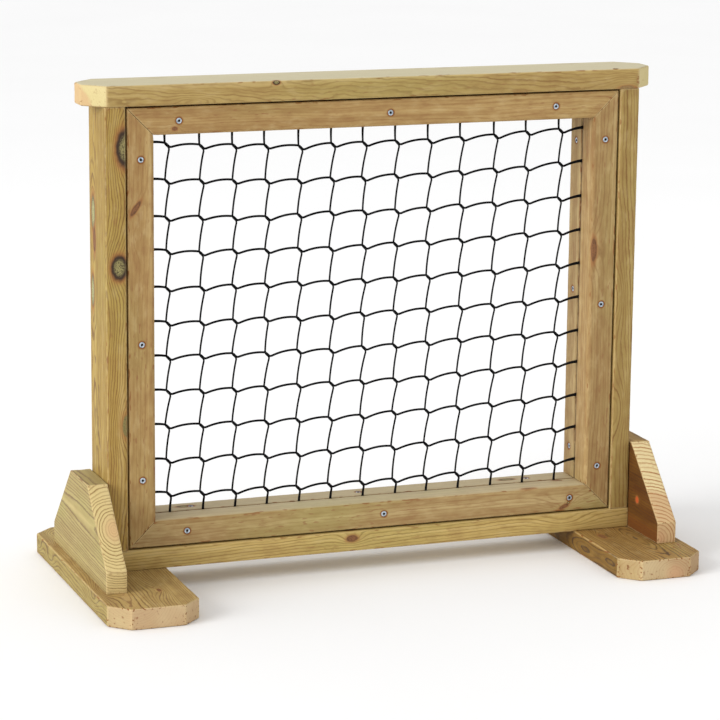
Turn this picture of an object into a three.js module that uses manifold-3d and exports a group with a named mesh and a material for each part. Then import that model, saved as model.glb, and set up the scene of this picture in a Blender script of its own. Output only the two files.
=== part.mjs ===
// A free-standing ball rebounder for the garden: a timber frame on two feet with a square-mesh net
// clamped between two mitred inner frames. Millimetres, +Z up, X along the frame, Y front to back.
// The origin is on the ground under the middle of the frame; the front of the frame faces -Y.
import * as THREE from 'three';
import { mergeVertices } from 'three/addons/utils/BufferGeometryUtils.js';
import Module from 'manifold-3d';

const wasm = await Module();
wasm.setup();

// ---- driving dimensions -------------------------------------------------------------------------
const BOARD = 33; // thickness of every structural board
const POST_DEPTH = 95; // width of the board that makes the posts and the bottom rail
const FRAME_WIDTH = 890; // outside face of one post to outside face of the other
const TOTAL_HEIGHT = 796;
const EASED = 1.6; // how far the sharp edges of cut boards are taken off
const ARRIS = 2.5; // radius on the long edges of planed boards
const ARC_STEPS = 3; // straight steps in each rounded edge

const CAP_DEPTH = 100;
const CAP_OVERHANG = 30; // how far the cap passes the outside of each post
const CAP_CORNER = 33; // length cut off each corner of the cap

const FOOT_WIDTH = 145;
const FOOT_LENGTH = 494;
const FOOT_CORNER = 30;
const FOOT_OUTSIDE = 49; // how far a foot passes the outside of its post

const GUSSET_HEIGHT = 145;
const GUSSET_HALF_BASE = 160;
const GUSSET_HALF_TOP = 51;
const GUSSET_UPRIGHT = 34; // the short vertical stretch at each end of its base
const GUSSET_GAP = 1; // clear of the post
const RAIL_OVERHANG = 0.6; // the bottom rail is a little longer than the posts are apart

const STOCK = 43; // square section of the inner frame and of the battens behind the net
const FRAME_SIDE_GAP = 2.6; // between the inner frame and the posts
const FRAME_END_GAP = 2.7; // between the inner frame and the cap or the rail
const FRAME_SETBACK = 2; // the inner frame's face stands back from the front of the posts
const FRAME_ROUND = 6; // radius of the inner frame's front edge round the opening
const MITRE_GAP = 0.3;

const MESH = 55.2; // knot to knot
const TWINE = 2.2;
const NET_THICKNESS = 2;
const NET_SPACE = 2.6; // gap between the two mitred frames, which the net fills
const NET_HELD = 14; // width of net clamped all round
const NET_COLUMNS = 13;
const NET_ROWS = 11;
const NET_FIRST_X = -333;
const NET_FIRST_Z = 136;

const HEAD_RADIUS = 4.5;
const HEAD_RIM = 0.5;
const SHANK_RADIUS = 2.2;
const POINT_LENGTH = 6;
const HEAD_SUNK = 0.4; // the head's face stands below the timber's face
const CLEARANCE = 0.3;
const SCREW_SIDES = 10;

const FRAME_SCREW_LENGTH = 72;
const BATTEN_SCREW_LENGTH = 62;
const POST_SCREW_LENGTH = 98;
const GUSSET_SCREW_LENGTH = 80;
const BRACE_SCREW_LENGTH = 58;

// Places along each side of the inner frame where its screws stand.
const FRAME_SCREWS = {
  top: [-327, 18, 300],
  bottom: [-316, 14, 340],
  left: [681, 393, 177],
  right: [682, 412, 141],
};
const BATTEN_SCREWS = {
  top: [-290, 0, 280],
  bottom: [-290, -6, 290],
  left: [652, 427, 161],
  right: [673, 427, 161],
};

// ---- worked-out dimensions ----------------------------------------------------------------------
const HALF_FRAME = FRAME_WIDTH / 2;
const RAIL_TOP = 2 * BOARD;
const CAP_UNDER = TOTAL_HEIGHT - BOARD;
const POST_HEIGHT = CAP_UNDER - RAIL_TOP;
const POST_X = HALF_FRAME - BOARD / 2;
const GUSSET_X = HALF_FRAME + GUSSET_GAP + BOARD / 2;
const FOOT_X = HALF_FRAME + FOOT_OUTSIDE - FOOT_WIDTH / 2;
const OUTER_HALF = HALF_FRAME - BOARD - FRAME_SIDE_GAP; // outside of the mitred frames
const OUTER_BOTTOM = RAIL_TOP + FRAME_END_GAP;
const OUTER_TOP = CAP_UNDER - FRAME_END_GAP;
const OUTER_HEIGHT = OUTER_TOP - OUTER_BOTTOM;
const MIDDLE_Z = (OUTER_TOP + OUTER_BOTTOM) / 2;
const OPEN_HALF = OUTER_HALF - STOCK;
const OPEN_BOTTOM = OUTER_BOTTOM + STOCK;
const OPEN_TOP = OUTER_TOP - STOCK;
const FRAME_FRONT_Y = -POST_DEPTH / 2 + FRAME_SETBACK;
const FRAME_BACK_Y = FRAME_FRONT_Y + STOCK;
const BATTEN_FRONT_Y = FRAME_BACK_Y + NET_SPACE;
const BATTEN_MIDDLE_Y = BATTEN_FRONT_Y + STOCK / 2;
const NET_Y = FRAME_BACK_Y + NET_SPACE / 2;

// ---- finishes: one material for each mesh ---------------------------------------------------------
const FINISHES = {
  structural_timber: { color: 0xbba56b, roughness: 0.75, metalness: 0 },
  frame_timber: { color: 0xb9935c, roughness: 0.68, metalness: 0 },
  net_twine: { color: 0x111111, roughness: 0.8, metalness: 0 },
  zinc_screw: { color: 0xb9bec2, roughness: 0.35, metalness: 1 },
};

const rebounder = new THREE.Group();

function addMesh(name, geometry, finish, position = [0, 0, 0], rotation = [0, 0, 0]) {
  const mesh = new THREE.Mesh(geometry, new THREE.MeshStandardMaterial(FINISHES[finish]));
  mesh.name = name;
  mesh.position.set(...position);
  mesh.rotation.set(...rotation);
  mesh.updateMatrixWorld(true);
  rebounder.add(mesh);
  return mesh;
}

// ---- cutting ----------------------------------------------------------------------------------
function mergedMesh(geometry) {
  const bare = geometry.clone();
  bare.deleteAttribute('normal');
  bare.deleteAttribute('uv');
  const merged = mergeVertices(bare, 1e-4);
  const index = merged.index.array;
  const kept = [];
  for (let i = 0; i < index.length; i += 3) {
    const [a, b, c] = [index[i], index[i + 1], index[i + 2]];
    if (a !== b && b !== c && c !== a) kept.push(a, b, c);
  }
  merged.setIndex(kept);
  return merged;
}

function toSolid(geometry) {
  const merged = mergedMesh(geometry);
  return new wasm.Manifold(new wasm.Mesh({
    numProp: 3,
    vertProperties: new Float32Array(merged.attributes.position.array),
    triVerts: new Uint32Array(merged.index.array),
  }));
}

function toGeometry(solid) {
  const mesh = solid.getMesh();
  const geometry = new THREE.BufferGeometry();
  geometry.setAttribute('position', new THREE.BufferAttribute(mesh.vertProperties, mesh.numProp));
  geometry.setIndex(new THREE.BufferAttribute(mesh.triVerts, 1));
  const flat = geometry.toNonIndexed();
  flat.computeVertexNormals();
  return flat;
}

function subtract(geometry, tools) {
  let solid = toSolid(geometry);
  for (const tool of tools) solid = solid.subtract(toSolid(tool));
  return toGeometry(solid);
}

// ---- boards -----------------------------------------------------------------------------------
// A rectangle centred on 0,0 with a radius at each corner: [-x-y, +x-y, +x+y, -x+y].
function roundedSection(width, height, radii) {
  const [w, h] = [width / 2, height / 2];
  const [a, b, c, d] = radii;
  const section = new THREE.Shape();
  section.moveTo(-w + a, -h);
  section.lineTo(w - b, -h);
  section.absarc(w - b, -h + b, b, -Math.PI / 2, 0, false);
  section.lineTo(w, h - c);
  section.absarc(w - c, h - c, c, 0, Math.PI / 2, false);
  section.lineTo(-w + d, h);
  section.absarc(-w + d, h - d, d, Math.PI / 2, Math.PI, false);
  section.lineTo(-w, -h + a);
  section.absarc(-w + a, -h + a, a, Math.PI, Math.PI * 1.5, false);
  return section;
}

// A planed board that runs along +Z from -length/2 to +length/2.
function planedBoard(section, length) {
  const board = new THREE.ExtrudeGeometry(section, {
    depth: length, bevelEnabled: false, curveSegments: ARC_STEPS,
  });
  board.translate(0, 0, -length / 2);
  return board;
}

// A board sawn to an outline, with all its edges eased. It lies in XY and its thickness is along Z.
function sawnBoard(points, thickness) {
  const outline = new THREE.Shape(points.map(([x, y]) => new THREE.Vector2(x, y)));
  const board = new THREE.ExtrudeGeometry(outline, {
    depth: thickness - 2 * EASED,
    bevelEnabled: true, bevelThickness: EASED, bevelSize: EASED, bevelOffset: -EASED,
    bevelSegments: 1,
  });
  board.translate(0, 0, EASED - thickness / 2);
  return board;
}

// A length by width rectangle centred on 0,0 with the same piece cut off each corner.
function corneredOutline(length, width, corner) {
  const [l, w] = [length / 2, width / 2];
  return [
    [-l + corner, -w], [l - corner, -w], [l, -w + corner], [l, w - corner],
    [l - corner, w], [-l + corner, w], [-l, w - corner], [-l, -w + corner],
  ];
}

function gussetOutline() {
  return [
    [-GUSSET_HALF_BASE, 0], [GUSSET_HALF_BASE, 0], [GUSSET_HALF_BASE, GUSSET_UPRIGHT],
    [GUSSET_HALF_TOP, GUSSET_HEIGHT], [-GUSSET_HALF_TOP, GUSSET_HEIGHT],
    [-GUSSET_HALF_BASE, GUSSET_UPRIGHT],
  ];
}

// A wedge that takes one end of a board along +Z off at 45 degrees, longest on its -X face.
function mitreWedge(length, end) {
  const reach = STOCK * 2;
  const half = length / 2;
  const wedge = new THREE.Shape();
  wedge.moveTo(-STOCK / 2 - 1, end * (half + 1));
  wedge.lineTo(STOCK / 2 + reach, end * (half - STOCK - reach));
  wedge.lineTo(STOCK / 2 + reach, end * (half + reach));
  wedge.lineTo(-STOCK / 2 - 1, end * (half + reach));
  const tool = new THREE.ExtrudeGeometry(wedge, { depth: STOCK * 2, bevelEnabled: false });
  tool.translate(0, 0, -STOCK);
  tool.rotateX(Math.PI / 2);
  return tool;
}

// One side of a mitred frame. It runs along Z; its outer face is at -X and its front at -Y.
function mitredBoard(length, radii) {
  const board = planedBoard(roundedSection(STOCK, STOCK, radii), length);
  const shorter = length - MITRE_GAP * Math.SQRT2;
  return subtract(board, [mitreWedge(shorter, 1), mitreWedge(shorter, -1)]);
}

// Where each side of a mitred frame goes: its middle, its turn about Y and its length.
function frameSides() {
  const x = OUTER_HALF - STOCK / 2;
  const width = 2 * OUTER_HALF;
  return {
    left: { at: [-x, MIDDLE_Z], turn: 0, length: OUTER_HEIGHT },
    right: { at: [x, MIDDLE_Z], turn: Math.PI, length: OUTER_HEIGHT },
    top: { at: [0, OUTER_TOP - STOCK / 2], turn: Math.PI / 2, length: width },
    bottom: { at: [0, OUTER_BOTTOM + STOCK / 2], turn: -Math.PI / 2, length: width },
  };
}

function addMitredFrame(prefix, middleY, radii) {
  const boards = {};
  for (const [side, { at, turn, length }] of Object.entries(frameSides())) {
    const position = [at[0], middleY, at[1]];
    const name = `${prefix}_${side}`;
    boards[side] = addMesh(name, mitredBoard(length, radii), 'frame_timber', position, [0, turn, 0]);
  }
  return boards;
}

// ---- net --------------------------------------------------------------------------------------
function cordPlaces(first, count, low, high) {
  const inner = Array.from({ length: count }, (unused, i) => first + MESH * i);
  return [low + TWINE / 2, ...inner, high - TWINE / 2];
}

// The two edges of every cord, in order. Between edge 2k and edge 2k+1 lies cord k.
function cordEdges(places) {
  return places.flatMap((place) => [place - TWINE / 2, place + TWINE / 2]);
}

// The net as a flat lattice: a grid of squares with the squares between the cords left out.
function netGeometry() {
  const right = OPEN_HALF + NET_HELD;
  const low = OPEN_BOTTOM - NET_HELD;
  const high = OPEN_TOP + NET_HELD;
  const xs = cordEdges(cordPlaces(NET_FIRST_X, NET_COLUMNS, -right, right));
  const zs = cordEdges(cordPlaces(NET_FIRST_Z, NET_ROWS, low, high));
  const inside = (i, j) => i >= 0 && j >= 0 && i + 1 < xs.length && j + 1 < zs.length;
  const isCord = (i, j) => inside(i, j) && (i % 2 === 0 || j % 2 === 0);
  const [front, back] = [-NET_THICKNESS / 2, NET_THICKNESS / 2];
  const corners = [];
  const addFace = (a, b, c, d) => corners.push(...a, ...b, ...c, ...a, ...c, ...d);
  for (let i = 0; i + 1 < xs.length; i += 1) {
    for (let j = 0; j + 1 < zs.length; j += 1) {
      if (!isCord(i, j)) continue;
      const [x0, x1, z0, z1] = [xs[i], xs[i + 1], zs[j], zs[j + 1]];
      addFace([x0, front, z0], [x1, front, z0], [x1, front, z1], [x0, front, z1]);
      addFace([x0, back, z0], [x0, back, z1], [x1, back, z1], [x1, back, z0]);
      if (!isCord(i - 1, j)) addFace([x0, back, z0], [x0, front, z0], [x0, front, z1], [x0, back, z1]);
      if (!isCord(i + 1, j)) addFace([x1, front, z0], [x1, back, z0], [x1, back, z1], [x1, front, z1]);
      if (!isCord(i, j - 1)) addFace([x0, front, z0], [x0, back, z0], [x1, back, z0], [x1, front, z0]);
      if (!isCord(i, j + 1)) addFace([x0, front, z1], [x1, front, z1], [x1, back, z1], [x0, back, z1]);
    }
  }
  const net = new THREE.BufferGeometry();
  net.setAttribute('position', new THREE.Float32BufferAttribute(corners, 3));
  net.computeVertexNormals();
  return net;
}

// ---- screws -----------------------------------------------------------------------------------
// A countersunk screw grown by spare all round. Its head's face is at Z = 0 and it points along +Z.
function screwGeometry(length, spare, mouth) {
  const head = HEAD_RADIUS + spare;
  const shank = SHANK_RADIUS + spare;
  const profile = [
    [0, -mouth], [head, -mouth], [head, HEAD_RIM], [shank, HEAD_RIM + head - shank],
    [shank, length - POINT_LENGTH], [0, length + spare],
  ];
  const turned = new THREE.LatheGeometry(profile.map(([r, y]) => new THREE.Vector2(r, y)), SCREW_SIDES);
  turned.rotateX(Math.PI / 2);
  return mergedMesh(turned);
}

// direction is the way the screw is driven; face is a point on the timber's face.
function addScrew(name, length, face, direction, boards) {
  const way = new THREE.Vector3(...direction);
  const place = new THREE.Vector3(...face).addScaledVector(way, HEAD_SUNK);
  const mesh = addMesh(name, screwGeometry(length, 0, 0), 'zinc_screw');
  mesh.quaternion.setFromUnitVectors(new THREE.Vector3(0, 0, 1), way);
  mesh.position.copy(place);
  mesh.updateMatrixWorld(true);
  for (const board of boards) drill(board, mesh, length);
}

// Cuts the screw's countersink and hole out of a board, wherever both of them stand.
function drill(board, screw, length) {
  const tool = screwGeometry(length, CLEARANCE, HEAD_SUNK + 1);
  tool.applyMatrix4(screw.matrixWorld);
  tool.applyMatrix4(board.matrixWorld.clone().invert());
  board.geometry = subtract(board.geometry, [tool]);
}

// ---- the object -------------------------------------------------------------------------------
const SIDES = { left: -1, right: 1 };

function addFeet() {
  const feet = {};
  for (const [side, s] of Object.entries(SIDES)) {
    const foot = sawnBoard(corneredOutline(FOOT_WIDTH, FOOT_LENGTH, FOOT_CORNER), BOARD);
    feet[side] = addMesh(`foot_${side}`, foot, 'structural_timber', [s * FOOT_X, 0, BOARD / 2]);
  }
  return feet;
}

function addGussets() {
  const gussets = {};
  const onEdge = [Math.PI / 2, Math.PI / 2, 0];
  for (const [side, s] of Object.entries(SIDES)) {
    const gusset = sawnBoard(gussetOutline(), BOARD);
    const position = [s * GUSSET_X, 0, BOARD];
    gussets[side] = addMesh(`gusset_${side}`, gusset, 'structural_timber', position, onEdge);
  }
  return gussets;
}

function addPosts() {
  const posts = {};
  for (const [side, s] of Object.entries(SIDES)) {
    const section = roundedSection(BOARD, POST_DEPTH, [ARRIS, ARRIS, ARRIS, ARRIS]);
    const position = [s * POST_X, 0, RAIL_TOP + POST_HEIGHT / 2];
    const post = planedBoard(section, POST_HEIGHT);
    posts[side] = addMesh(`post_${side}`, post, 'structural_timber', position);
  }
  return posts;
}

function addBottomRail() {
  const section = roundedSection(BOARD, POST_DEPTH, [ARRIS, ARRIS, ARRIS, ARRIS]);
  const rail = planedBoard(section, FRAME_WIDTH + 2 * RAIL_OVERHANG);
  const position = [0, 0, BOARD * 1.5];
  return addMesh('bottom_rail', rail, 'structural_timber', position, [0, Math.PI / 2, 0]);
}

function addCap() {
  const outline = corneredOutline(FRAME_WIDTH + 2 * CAP_OVERHANG, CAP_DEPTH, CAP_CORNER);
  const position = [0, 0, CAP_UNDER + BOARD / 2];
  return addMesh('top_cap', sawnBoard(outline, BOARD), 'structural_timber', position);
}

// Screws through the front of the inner frame, the net's margin and the battens behind it.
function addFrameScrews(frame, battens) {
  const middle = frameSides();
  for (const [side, places] of Object.entries(FRAME_SCREWS)) {
    const upright = side === 'left' || side === 'right';
    places.forEach((place, i) => {
      const [x, z] = upright ? [middle[side].at[0], place] : [place, middle[side].at[1]];
      const name = `frame_screw_${side}_${i + 1}`;
      const boards = [frame[side], battens[side]];
      addScrew(name, FRAME_SCREW_LENGTH, [x, FRAME_FRONT_Y, z], [0, 1, 0], boards);
    });
  }
}

// Screws from the opening outwards, through each batten into the post, cap or rail beside it.
function addBattenScrews(battens, neighbours) {
  const faces = {
    top: { at: (place) => [place, BATTEN_MIDDLE_Y, OPEN_TOP], way: [0, 0, 1] },
    bottom: { at: (place) => [place, BATTEN_MIDDLE_Y, OPEN_BOTTOM], way: [0, 0, -1] },
    left: { at: (place) => [-OPEN_HALF, BATTEN_MIDDLE_Y, place], way: [-1, 0, 0] },
    right: { at: (place) => [OPEN_HALF, BATTEN_MIDDLE_Y, place], way: [1, 0, 0] },
  };
  for (const [side, { at, way }] of Object.entries(faces)) {
    BATTEN_SCREWS[side].forEach((place, i) => {
      const name = `batten_screw_${side}_${i + 1}`;
      addScrew(name, BATTEN_SCREW_LENGTH, at(place), way, [battens[side], neighbours[side]]);
    });
  }
}

// Screws up through each foot: two into the rail and the post's end, two into the gusset.
// Two more run from the inside of each post into the gusset.
function addFootScrews(feet, rail, posts, gussets) {
  const POST_SCREW_Y = 30;
  const GUSSET_SCREW_Y = 110;
  const BRACE_SCREW_Y = 18;
  const BRACE_SCREW_Z = { front: 152, back: 122 };
  const up = [0, 0, 1];
  for (const [side, s] of Object.entries(SIDES)) {
    for (const [end, e] of Object.entries({ front: -1, back: 1 })) {
      const throughRail = [feet[side], rail, posts[side]];
      const postFoot = [s * POST_X, e * POST_SCREW_Y, 0];
      addScrew(`post_screw_${side}_${end}`, POST_SCREW_LENGTH, postFoot, up, throughRail);
      const gussetFoot = [s * GUSSET_X, e * GUSSET_SCREW_Y, 0];
      const throughFoot = [feet[side], gussets[side]];
      addScrew(`gusset_screw_${side}_${end}`, GUSSET_SCREW_LENGTH, gussetFoot, up, throughFoot);
      const inside = [s * (HALF_FRAME - BOARD), e * BRACE_SCREW_Y, BRACE_SCREW_Z[end]];
      const throughPost = [posts[side], gussets[side]];
      addScrew(`brace_screw_${side}_${end}`, BRACE_SCREW_LENGTH, inside, [s, 0, 0], throughPost);
    }
  }
}

function addRebounder() {
  const feet = addFeet();
  const gussets = addGussets();
  const rail = addBottomRail();
  const posts = addPosts();
  const cap = addCap();
  const roundInside = [ARRIS, FRAME_ROUND, ARRIS, ARRIS];
  const frame = addMitredFrame('front_frame', FRAME_FRONT_Y + STOCK / 2, roundInside);
  const battens = addMitredFrame('rear_batten', BATTEN_MIDDLE_Y, [ARRIS, ARRIS, ARRIS, ARRIS]);
  addMesh('net', netGeometry(), 'net_twine', [0, NET_Y, 0]);
  addFrameScrews(frame, battens);
  addBattenScrews(battens, { top: cap, bottom: rail, left: posts.left, right: posts.right });
  addFootScrews(feet, rail, posts, gussets);
}

addRebounder();

export default rebounder;
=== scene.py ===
# %% [markdown]
# # A pitch back rebounder in planed pine
# The object is a ball rebounder for the garden. Two posts stand on two wide feet, a rail ties them
# low down and a cap lies on top. Between the posts sits a mitred picture frame made twice, one
# behind the other, and the two halves clamp a knotted net of black twine. Thirty-six zinc screws
# hold it all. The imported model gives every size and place, so the first step is to load it.

# %% Load the frame and keep its box
import math
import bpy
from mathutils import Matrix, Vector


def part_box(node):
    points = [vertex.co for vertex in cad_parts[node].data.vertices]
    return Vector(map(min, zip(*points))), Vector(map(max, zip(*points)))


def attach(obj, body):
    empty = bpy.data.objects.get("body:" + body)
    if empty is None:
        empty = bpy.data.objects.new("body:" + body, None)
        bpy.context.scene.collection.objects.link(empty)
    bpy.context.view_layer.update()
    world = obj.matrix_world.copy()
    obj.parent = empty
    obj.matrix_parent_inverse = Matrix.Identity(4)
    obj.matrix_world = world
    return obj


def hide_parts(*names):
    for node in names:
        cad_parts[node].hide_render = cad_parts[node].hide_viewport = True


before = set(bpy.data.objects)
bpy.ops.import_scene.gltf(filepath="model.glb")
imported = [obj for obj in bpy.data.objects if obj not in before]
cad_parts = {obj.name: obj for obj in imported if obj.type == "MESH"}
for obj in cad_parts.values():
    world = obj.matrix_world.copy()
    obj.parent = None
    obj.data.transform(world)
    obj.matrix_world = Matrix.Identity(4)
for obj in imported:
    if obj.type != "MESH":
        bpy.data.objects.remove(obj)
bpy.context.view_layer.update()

from types import SimpleNamespace

import bpy
import numpy as np
from mathutils import Matrix, Vector

MM = 0.001

# %% [markdown]
# ## The camera
# A long lens stands well back, a little to the left and above, so upright edges stay nearly
# parallel. Its aim is three turns: round the vertical, down, and a slight tilt about its own axis.
# Multiplying the three rotations in that order keeps each number readable by itself.

# %% Camera
CAMERA_PLACE = Vector((-1.6324, -4.4203, 1.3447))
CAMERA_YAW = math.radians(20.122)
CAMERA_DOWN = math.radians(12.096)
CAMERA_ROLL = math.radians(0.531)
LENS_LENGTH = 150.2
SENSOR_WIDTH = 36.0

camera = bpy.data.objects.new("camera", bpy.data.cameras.new("camera"))
camera.data.lens = LENS_LENGTH
camera.data.sensor_width = SENSOR_WIDTH
camera.matrix_world = (
    Matrix.Translation(CAMERA_PLACE)
    @ Matrix.Rotation(-CAMERA_YAW, 4, "Z")
    @ Matrix.Rotation(math.pi / 2 - CAMERA_DOWN, 4, "X")
    @ Matrix.Rotation(CAMERA_ROLL, 4, "Z")
)
bpy.context.scene.collection.objects.link(camera)
bpy.context.scene.camera = camera
print("camera stands", round(CAMERA_PLACE.length, 2), "m from the origin")

# %% [markdown]
# ## Shader maths as Python
# A wood finish is mostly arithmetic on the place of a point. Wiring Math nodes by hand hides that
# arithmetic, so a small class wraps an output socket and turns + - * / into nodes. The formula
# then stays readable in the code.

# %% The Value class
class Value:
    """A number that varies over the surface, held in an output socket."""

    def __init__(self, finish, socket):
        self.finish = finish
        self.socket = socket

    def __add__(self, other):
        return self.finish.math("ADD", self, other)

    def __sub__(self, other):
        return self.finish.math("SUBTRACT", self, other)

    def __rsub__(self, other):
        return self.finish.math("SUBTRACT", other, self)

    def __mul__(self, other):
        return self.finish.math("MULTIPLY", self, other)

    def __truediv__(self, other):
        return self.finish.math("DIVIDE", self, other)

    __radd__ = __add__
    __rmul__ = __mul__


print("values can be added, subtracted, multiplied and divided")

# %% [markdown]
# `Finish` holds one material. Any node comes from one method, by its type, its settings and its
# sockets, and the steps that this model needs often have a short name of their own.

# %% The Finish class
class Finish:
    """One material and the few ways that nodes are added to it."""

    def __init__(self, name):
        self.material = bpy.data.materials.new(name)
        self.material.use_nodes = True
        self.tree = self.material.node_tree
        self.tree.nodes.clear()

    def node(self, kind, settings=None, sockets=None):
        """Adds a node: its settings first, then the values or links of its sockets."""
        made = self.tree.nodes.new(kind)
        for key, value in (settings or {}).items():
            setattr(made, key, value)
        for key, value in (sockets or {}).items():
            if isinstance(value, Value):
                self.tree.links.new(value.socket, made.inputs[key])
            else:
                made.inputs[key].default_value = value
        return made

    def value(self, kind, settings=None, sockets=None, output=0):
        """The same, returning one output of the node as a Value."""
        return Value(self, self.node(kind, settings, sockets).outputs[output])

    def math(self, operation, *numbers):
        """A Math node on one, two or three numbers."""
        return self.value("ShaderNodeMath", {"operation": operation}, dict(enumerate(numbers)))

    def vector(self, operation, *vectors):
        """Vector Math. Length gives a number, every other operation a vector."""
        output = 1 if operation == "LENGTH" else 0
        return self.value(
            "ShaderNodeVectorMath", {"operation": operation}, dict(enumerate(vectors)), output
        )

    def rise(self, value, low, high):
        """0 below low, 1 above high, with a smooth rise between. It falls where high is the lesser."""
        settings = {"interpolation_type": "SMOOTHSTEP"}
        sockets = {"Value": value, "From Min": low, "From Max": high}
        return self.value("ShaderNodeMapRange", settings, sockets)

    def hump(self, value, width):
        """exp(-(value / width)^2): 1 where the value is zero, fading over the width."""
        scaled = value * (1.0 / width)
        return self.math("EXPONENT", scaled * scaled * -1.0)

    def mix(self, amount, first, second, blend="MIX"):
        """A colour between two others."""
        settings = {"data_type": "RGBA", "blend_type": blend}
        return self.value("ShaderNodeMix", settings, {0: amount, 6: first, 7: second}, 2)

    def noise(self, place, detail=2.0, roughness=0.5, output="Fac"):
        """Soft noise about 0.5. The place is already scaled, so one unit is one blob."""
        sockets = {"Vector": place, "Scale": 1.0, "Detail": detail, "Roughness": roughness}
        return self.value("ShaderNodeTexNoise", {}, sockets, output)

    def cloud(self, per_metre, detail=2.0):
        """Noise on the object's own coordinates, whose blobs are 1 / per_metre metres wide."""
        place = self.value("ShaderNodeTexCoord", output="Object")
        return self.noise(self.vector("MULTIPLY", place, (per_metre,) * 3), detail)

    def join(self, x, y, z):
        """Three numbers as one vector."""
        return self.value("ShaderNodeCombineXYZ", {}, {0: x, 1: y, 2: z})

    def split(self, vector):
        """The three numbers of a vector or a colour."""
        made = self.node("ShaderNodeSeparateXYZ", {}, {0: vector})
        return [Value(self, socket) for socket in made.outputs]

    def surface(self, shader, sockets):
        """Ends the material with a shader, whose fixed numbers are set on its own sockets."""
        made = self.node(shader, {}, sockets)
        output = self.node("ShaderNodeOutputMaterial")
        self.tree.links.new(made.outputs[0], output.inputs["Surface"])
        return self.material


def paint(red, green, blue):
    """A colour with full opacity, from its three linear parts."""
    return (red, green, blue, 1.0)


print("finishes can be made")

# %% [markdown]
# ## Floor
# The frame stands on a pale studio floor that runs out of sight. A curved backdrop would do as
# well, but one big square a hair under the feet is simpler and shows no bend behind the frame. Its
# colour clouds a little, because a perfectly even floor looks like no floor at all.

# %% Floor
FLOOR_REACH = 60.0
FLOOR_DROP = 0.2 * MM
FLOOR_CLOUDS_PER_METRE = 1.5

floor_finish = Finish("pale_studio_floor")
floor_cloud = floor_finish.cloud(FLOOR_CLOUDS_PER_METRE)
floor_finish.surface(
    "ShaderNodeBsdfPrincipled",
    {
        "Base Color": floor_finish.mix(floor_cloud, paint(0.93, 0.93, 0.93), paint(0.96, 0.96, 0.96)),
        "Roughness": 0.85,
        "Specular IOR Level": 0.2,
    },
)
floor_mesh = bpy.data.meshes.new("studio_floor")
floor_corners = [(-1, -1), (1, -1), (1, 1), (-1, 1)]
floor_mesh.from_pydata(
    [(x * FLOOR_REACH, y * FLOOR_REACH, -FLOOR_DROP) for x, y in floor_corners], [], [(0, 1, 2, 3)]
)
floor_mesh.materials.append(floor_finish.material)
floor = bpy.data.objects.new("studio_floor", floor_mesh)
bpy.context.scene.collection.objects.link(floor)
print("floor reaches", FLOOR_REACH, "m each way")

# %% [markdown]
# ## Studio light
# Most of the light is an even white sky, so that no gap goes black. A low, wide sun far round to
# the left stands for a big window: it draws soft shadows, and it shades the faces that look away
# from it. A sun is better here than a lamp close by, which would leave a bright pool on the floor.
# A softbox high up behind lifts the top faces a little.

# %% Lights
AIM = Vector((0.0, 0.0, 0.35))
SKY_STRENGTH = 0.78


def add_lamp(name, kind, turn, height, distance=0.0):
    """A lamp that looks at the frame. Turn is in degrees from the front, positive to the left."""
    lamp = bpy.data.lights.new(name, kind)
    made = bpy.data.objects.new(name, lamp)
    turn, height = math.radians(turn), math.radians(height)
    away = Vector((-math.sin(turn), -math.cos(turn), math.tan(height))).normalized()
    made.location = AIM + away * distance
    made.rotation_euler = away.to_track_quat("Z", "Y").to_euler()
    bpy.context.scene.collection.objects.link(made)
    return lamp


softbox = add_lamp("top_softbox", "AREA", turn=150, height=70, distance=4.0)
softbox.size = 3.0
softbox.energy = 22

window = add_lamp("key_window", "SUN", turn=74, height=21)
window.energy = 2.1
window.angle = math.radians(34)

sky = bpy.data.worlds.new("studio_sky")
sky.use_nodes = True
sky.node_tree.nodes["Background"].inputs["Color"].default_value = paint(1.0, 1.0, 1.0)
sky.node_tree.nodes["Background"].inputs["Strength"].default_value = SKY_STRENGTH
bpy.context.scene.world = sky
bpy.context.scene.view_settings.view_transform = "Standard"

# %% [markdown]
# ## Skins from rings
# A board, a screw and a cord are the same kind of surface: closed rings of points, one after the
# other along an axis. If each ring has the same number of points, quads join each ring to the next
# and a fan of triangles closes each end. numpy makes the whole index table at once.

# %% Skin helpers
def skin(rings):
    """Vertices and faces of a closed surface through rings[ring, point, xyz].

    Quads join point i and i+1 of a ring to the same points of the next ring, and a fan to the mean
    of the end ring closes each end. Rings run anticlockwise seen against the direction of travel.
    """
    count, around = rings.shape[:2]
    vertices = np.concatenate([rings.reshape(-1, 3), [rings[0].mean(0)], [rings[-1].mean(0)]])
    here = np.arange(around)
    following = (here + 1) % around
    row = np.arange(count - 1)[:, None] * around
    quads = np.stack([row + here, row + following, row + around + following, row + around + here], -1)
    last = (count - 1) * around
    first_pole, last_pole = count * around, count * around + 1
    first_fan = np.stack([np.full(around, first_pole), following, here], -1)
    last_fan = np.stack([np.full(around, last_pole), last + here, last + following], -1)
    return vertices, quads.reshape(-1, 4), np.concatenate([first_fan, last_fan])


def mesh_from(name, vertices, quads, triangles):
    """A mesh from arrays of corners, four-sided faces and three-sided faces."""
    mesh = bpy.data.meshes.new(name)
    mesh.from_pydata(vertices.tolist(), [], quads.tolist() + triangles.tolist())
    mesh.update()
    return mesh


def add_piece(mesh, nodes, sharp_angle=35.0):
    """Puts a finished mesh into the scene as a piece that stands for its CAD nodes."""
    mesh.shade_smooth()
    mesh.set_sharp_from_angle(angle=math.radians(sharp_angle))
    piece = bpy.data.objects.new(mesh.name, mesh)
    bpy.context.scene.collection.objects.link(piece)
    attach(piece, "root")
    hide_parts(*nodes)
    return piece


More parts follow.
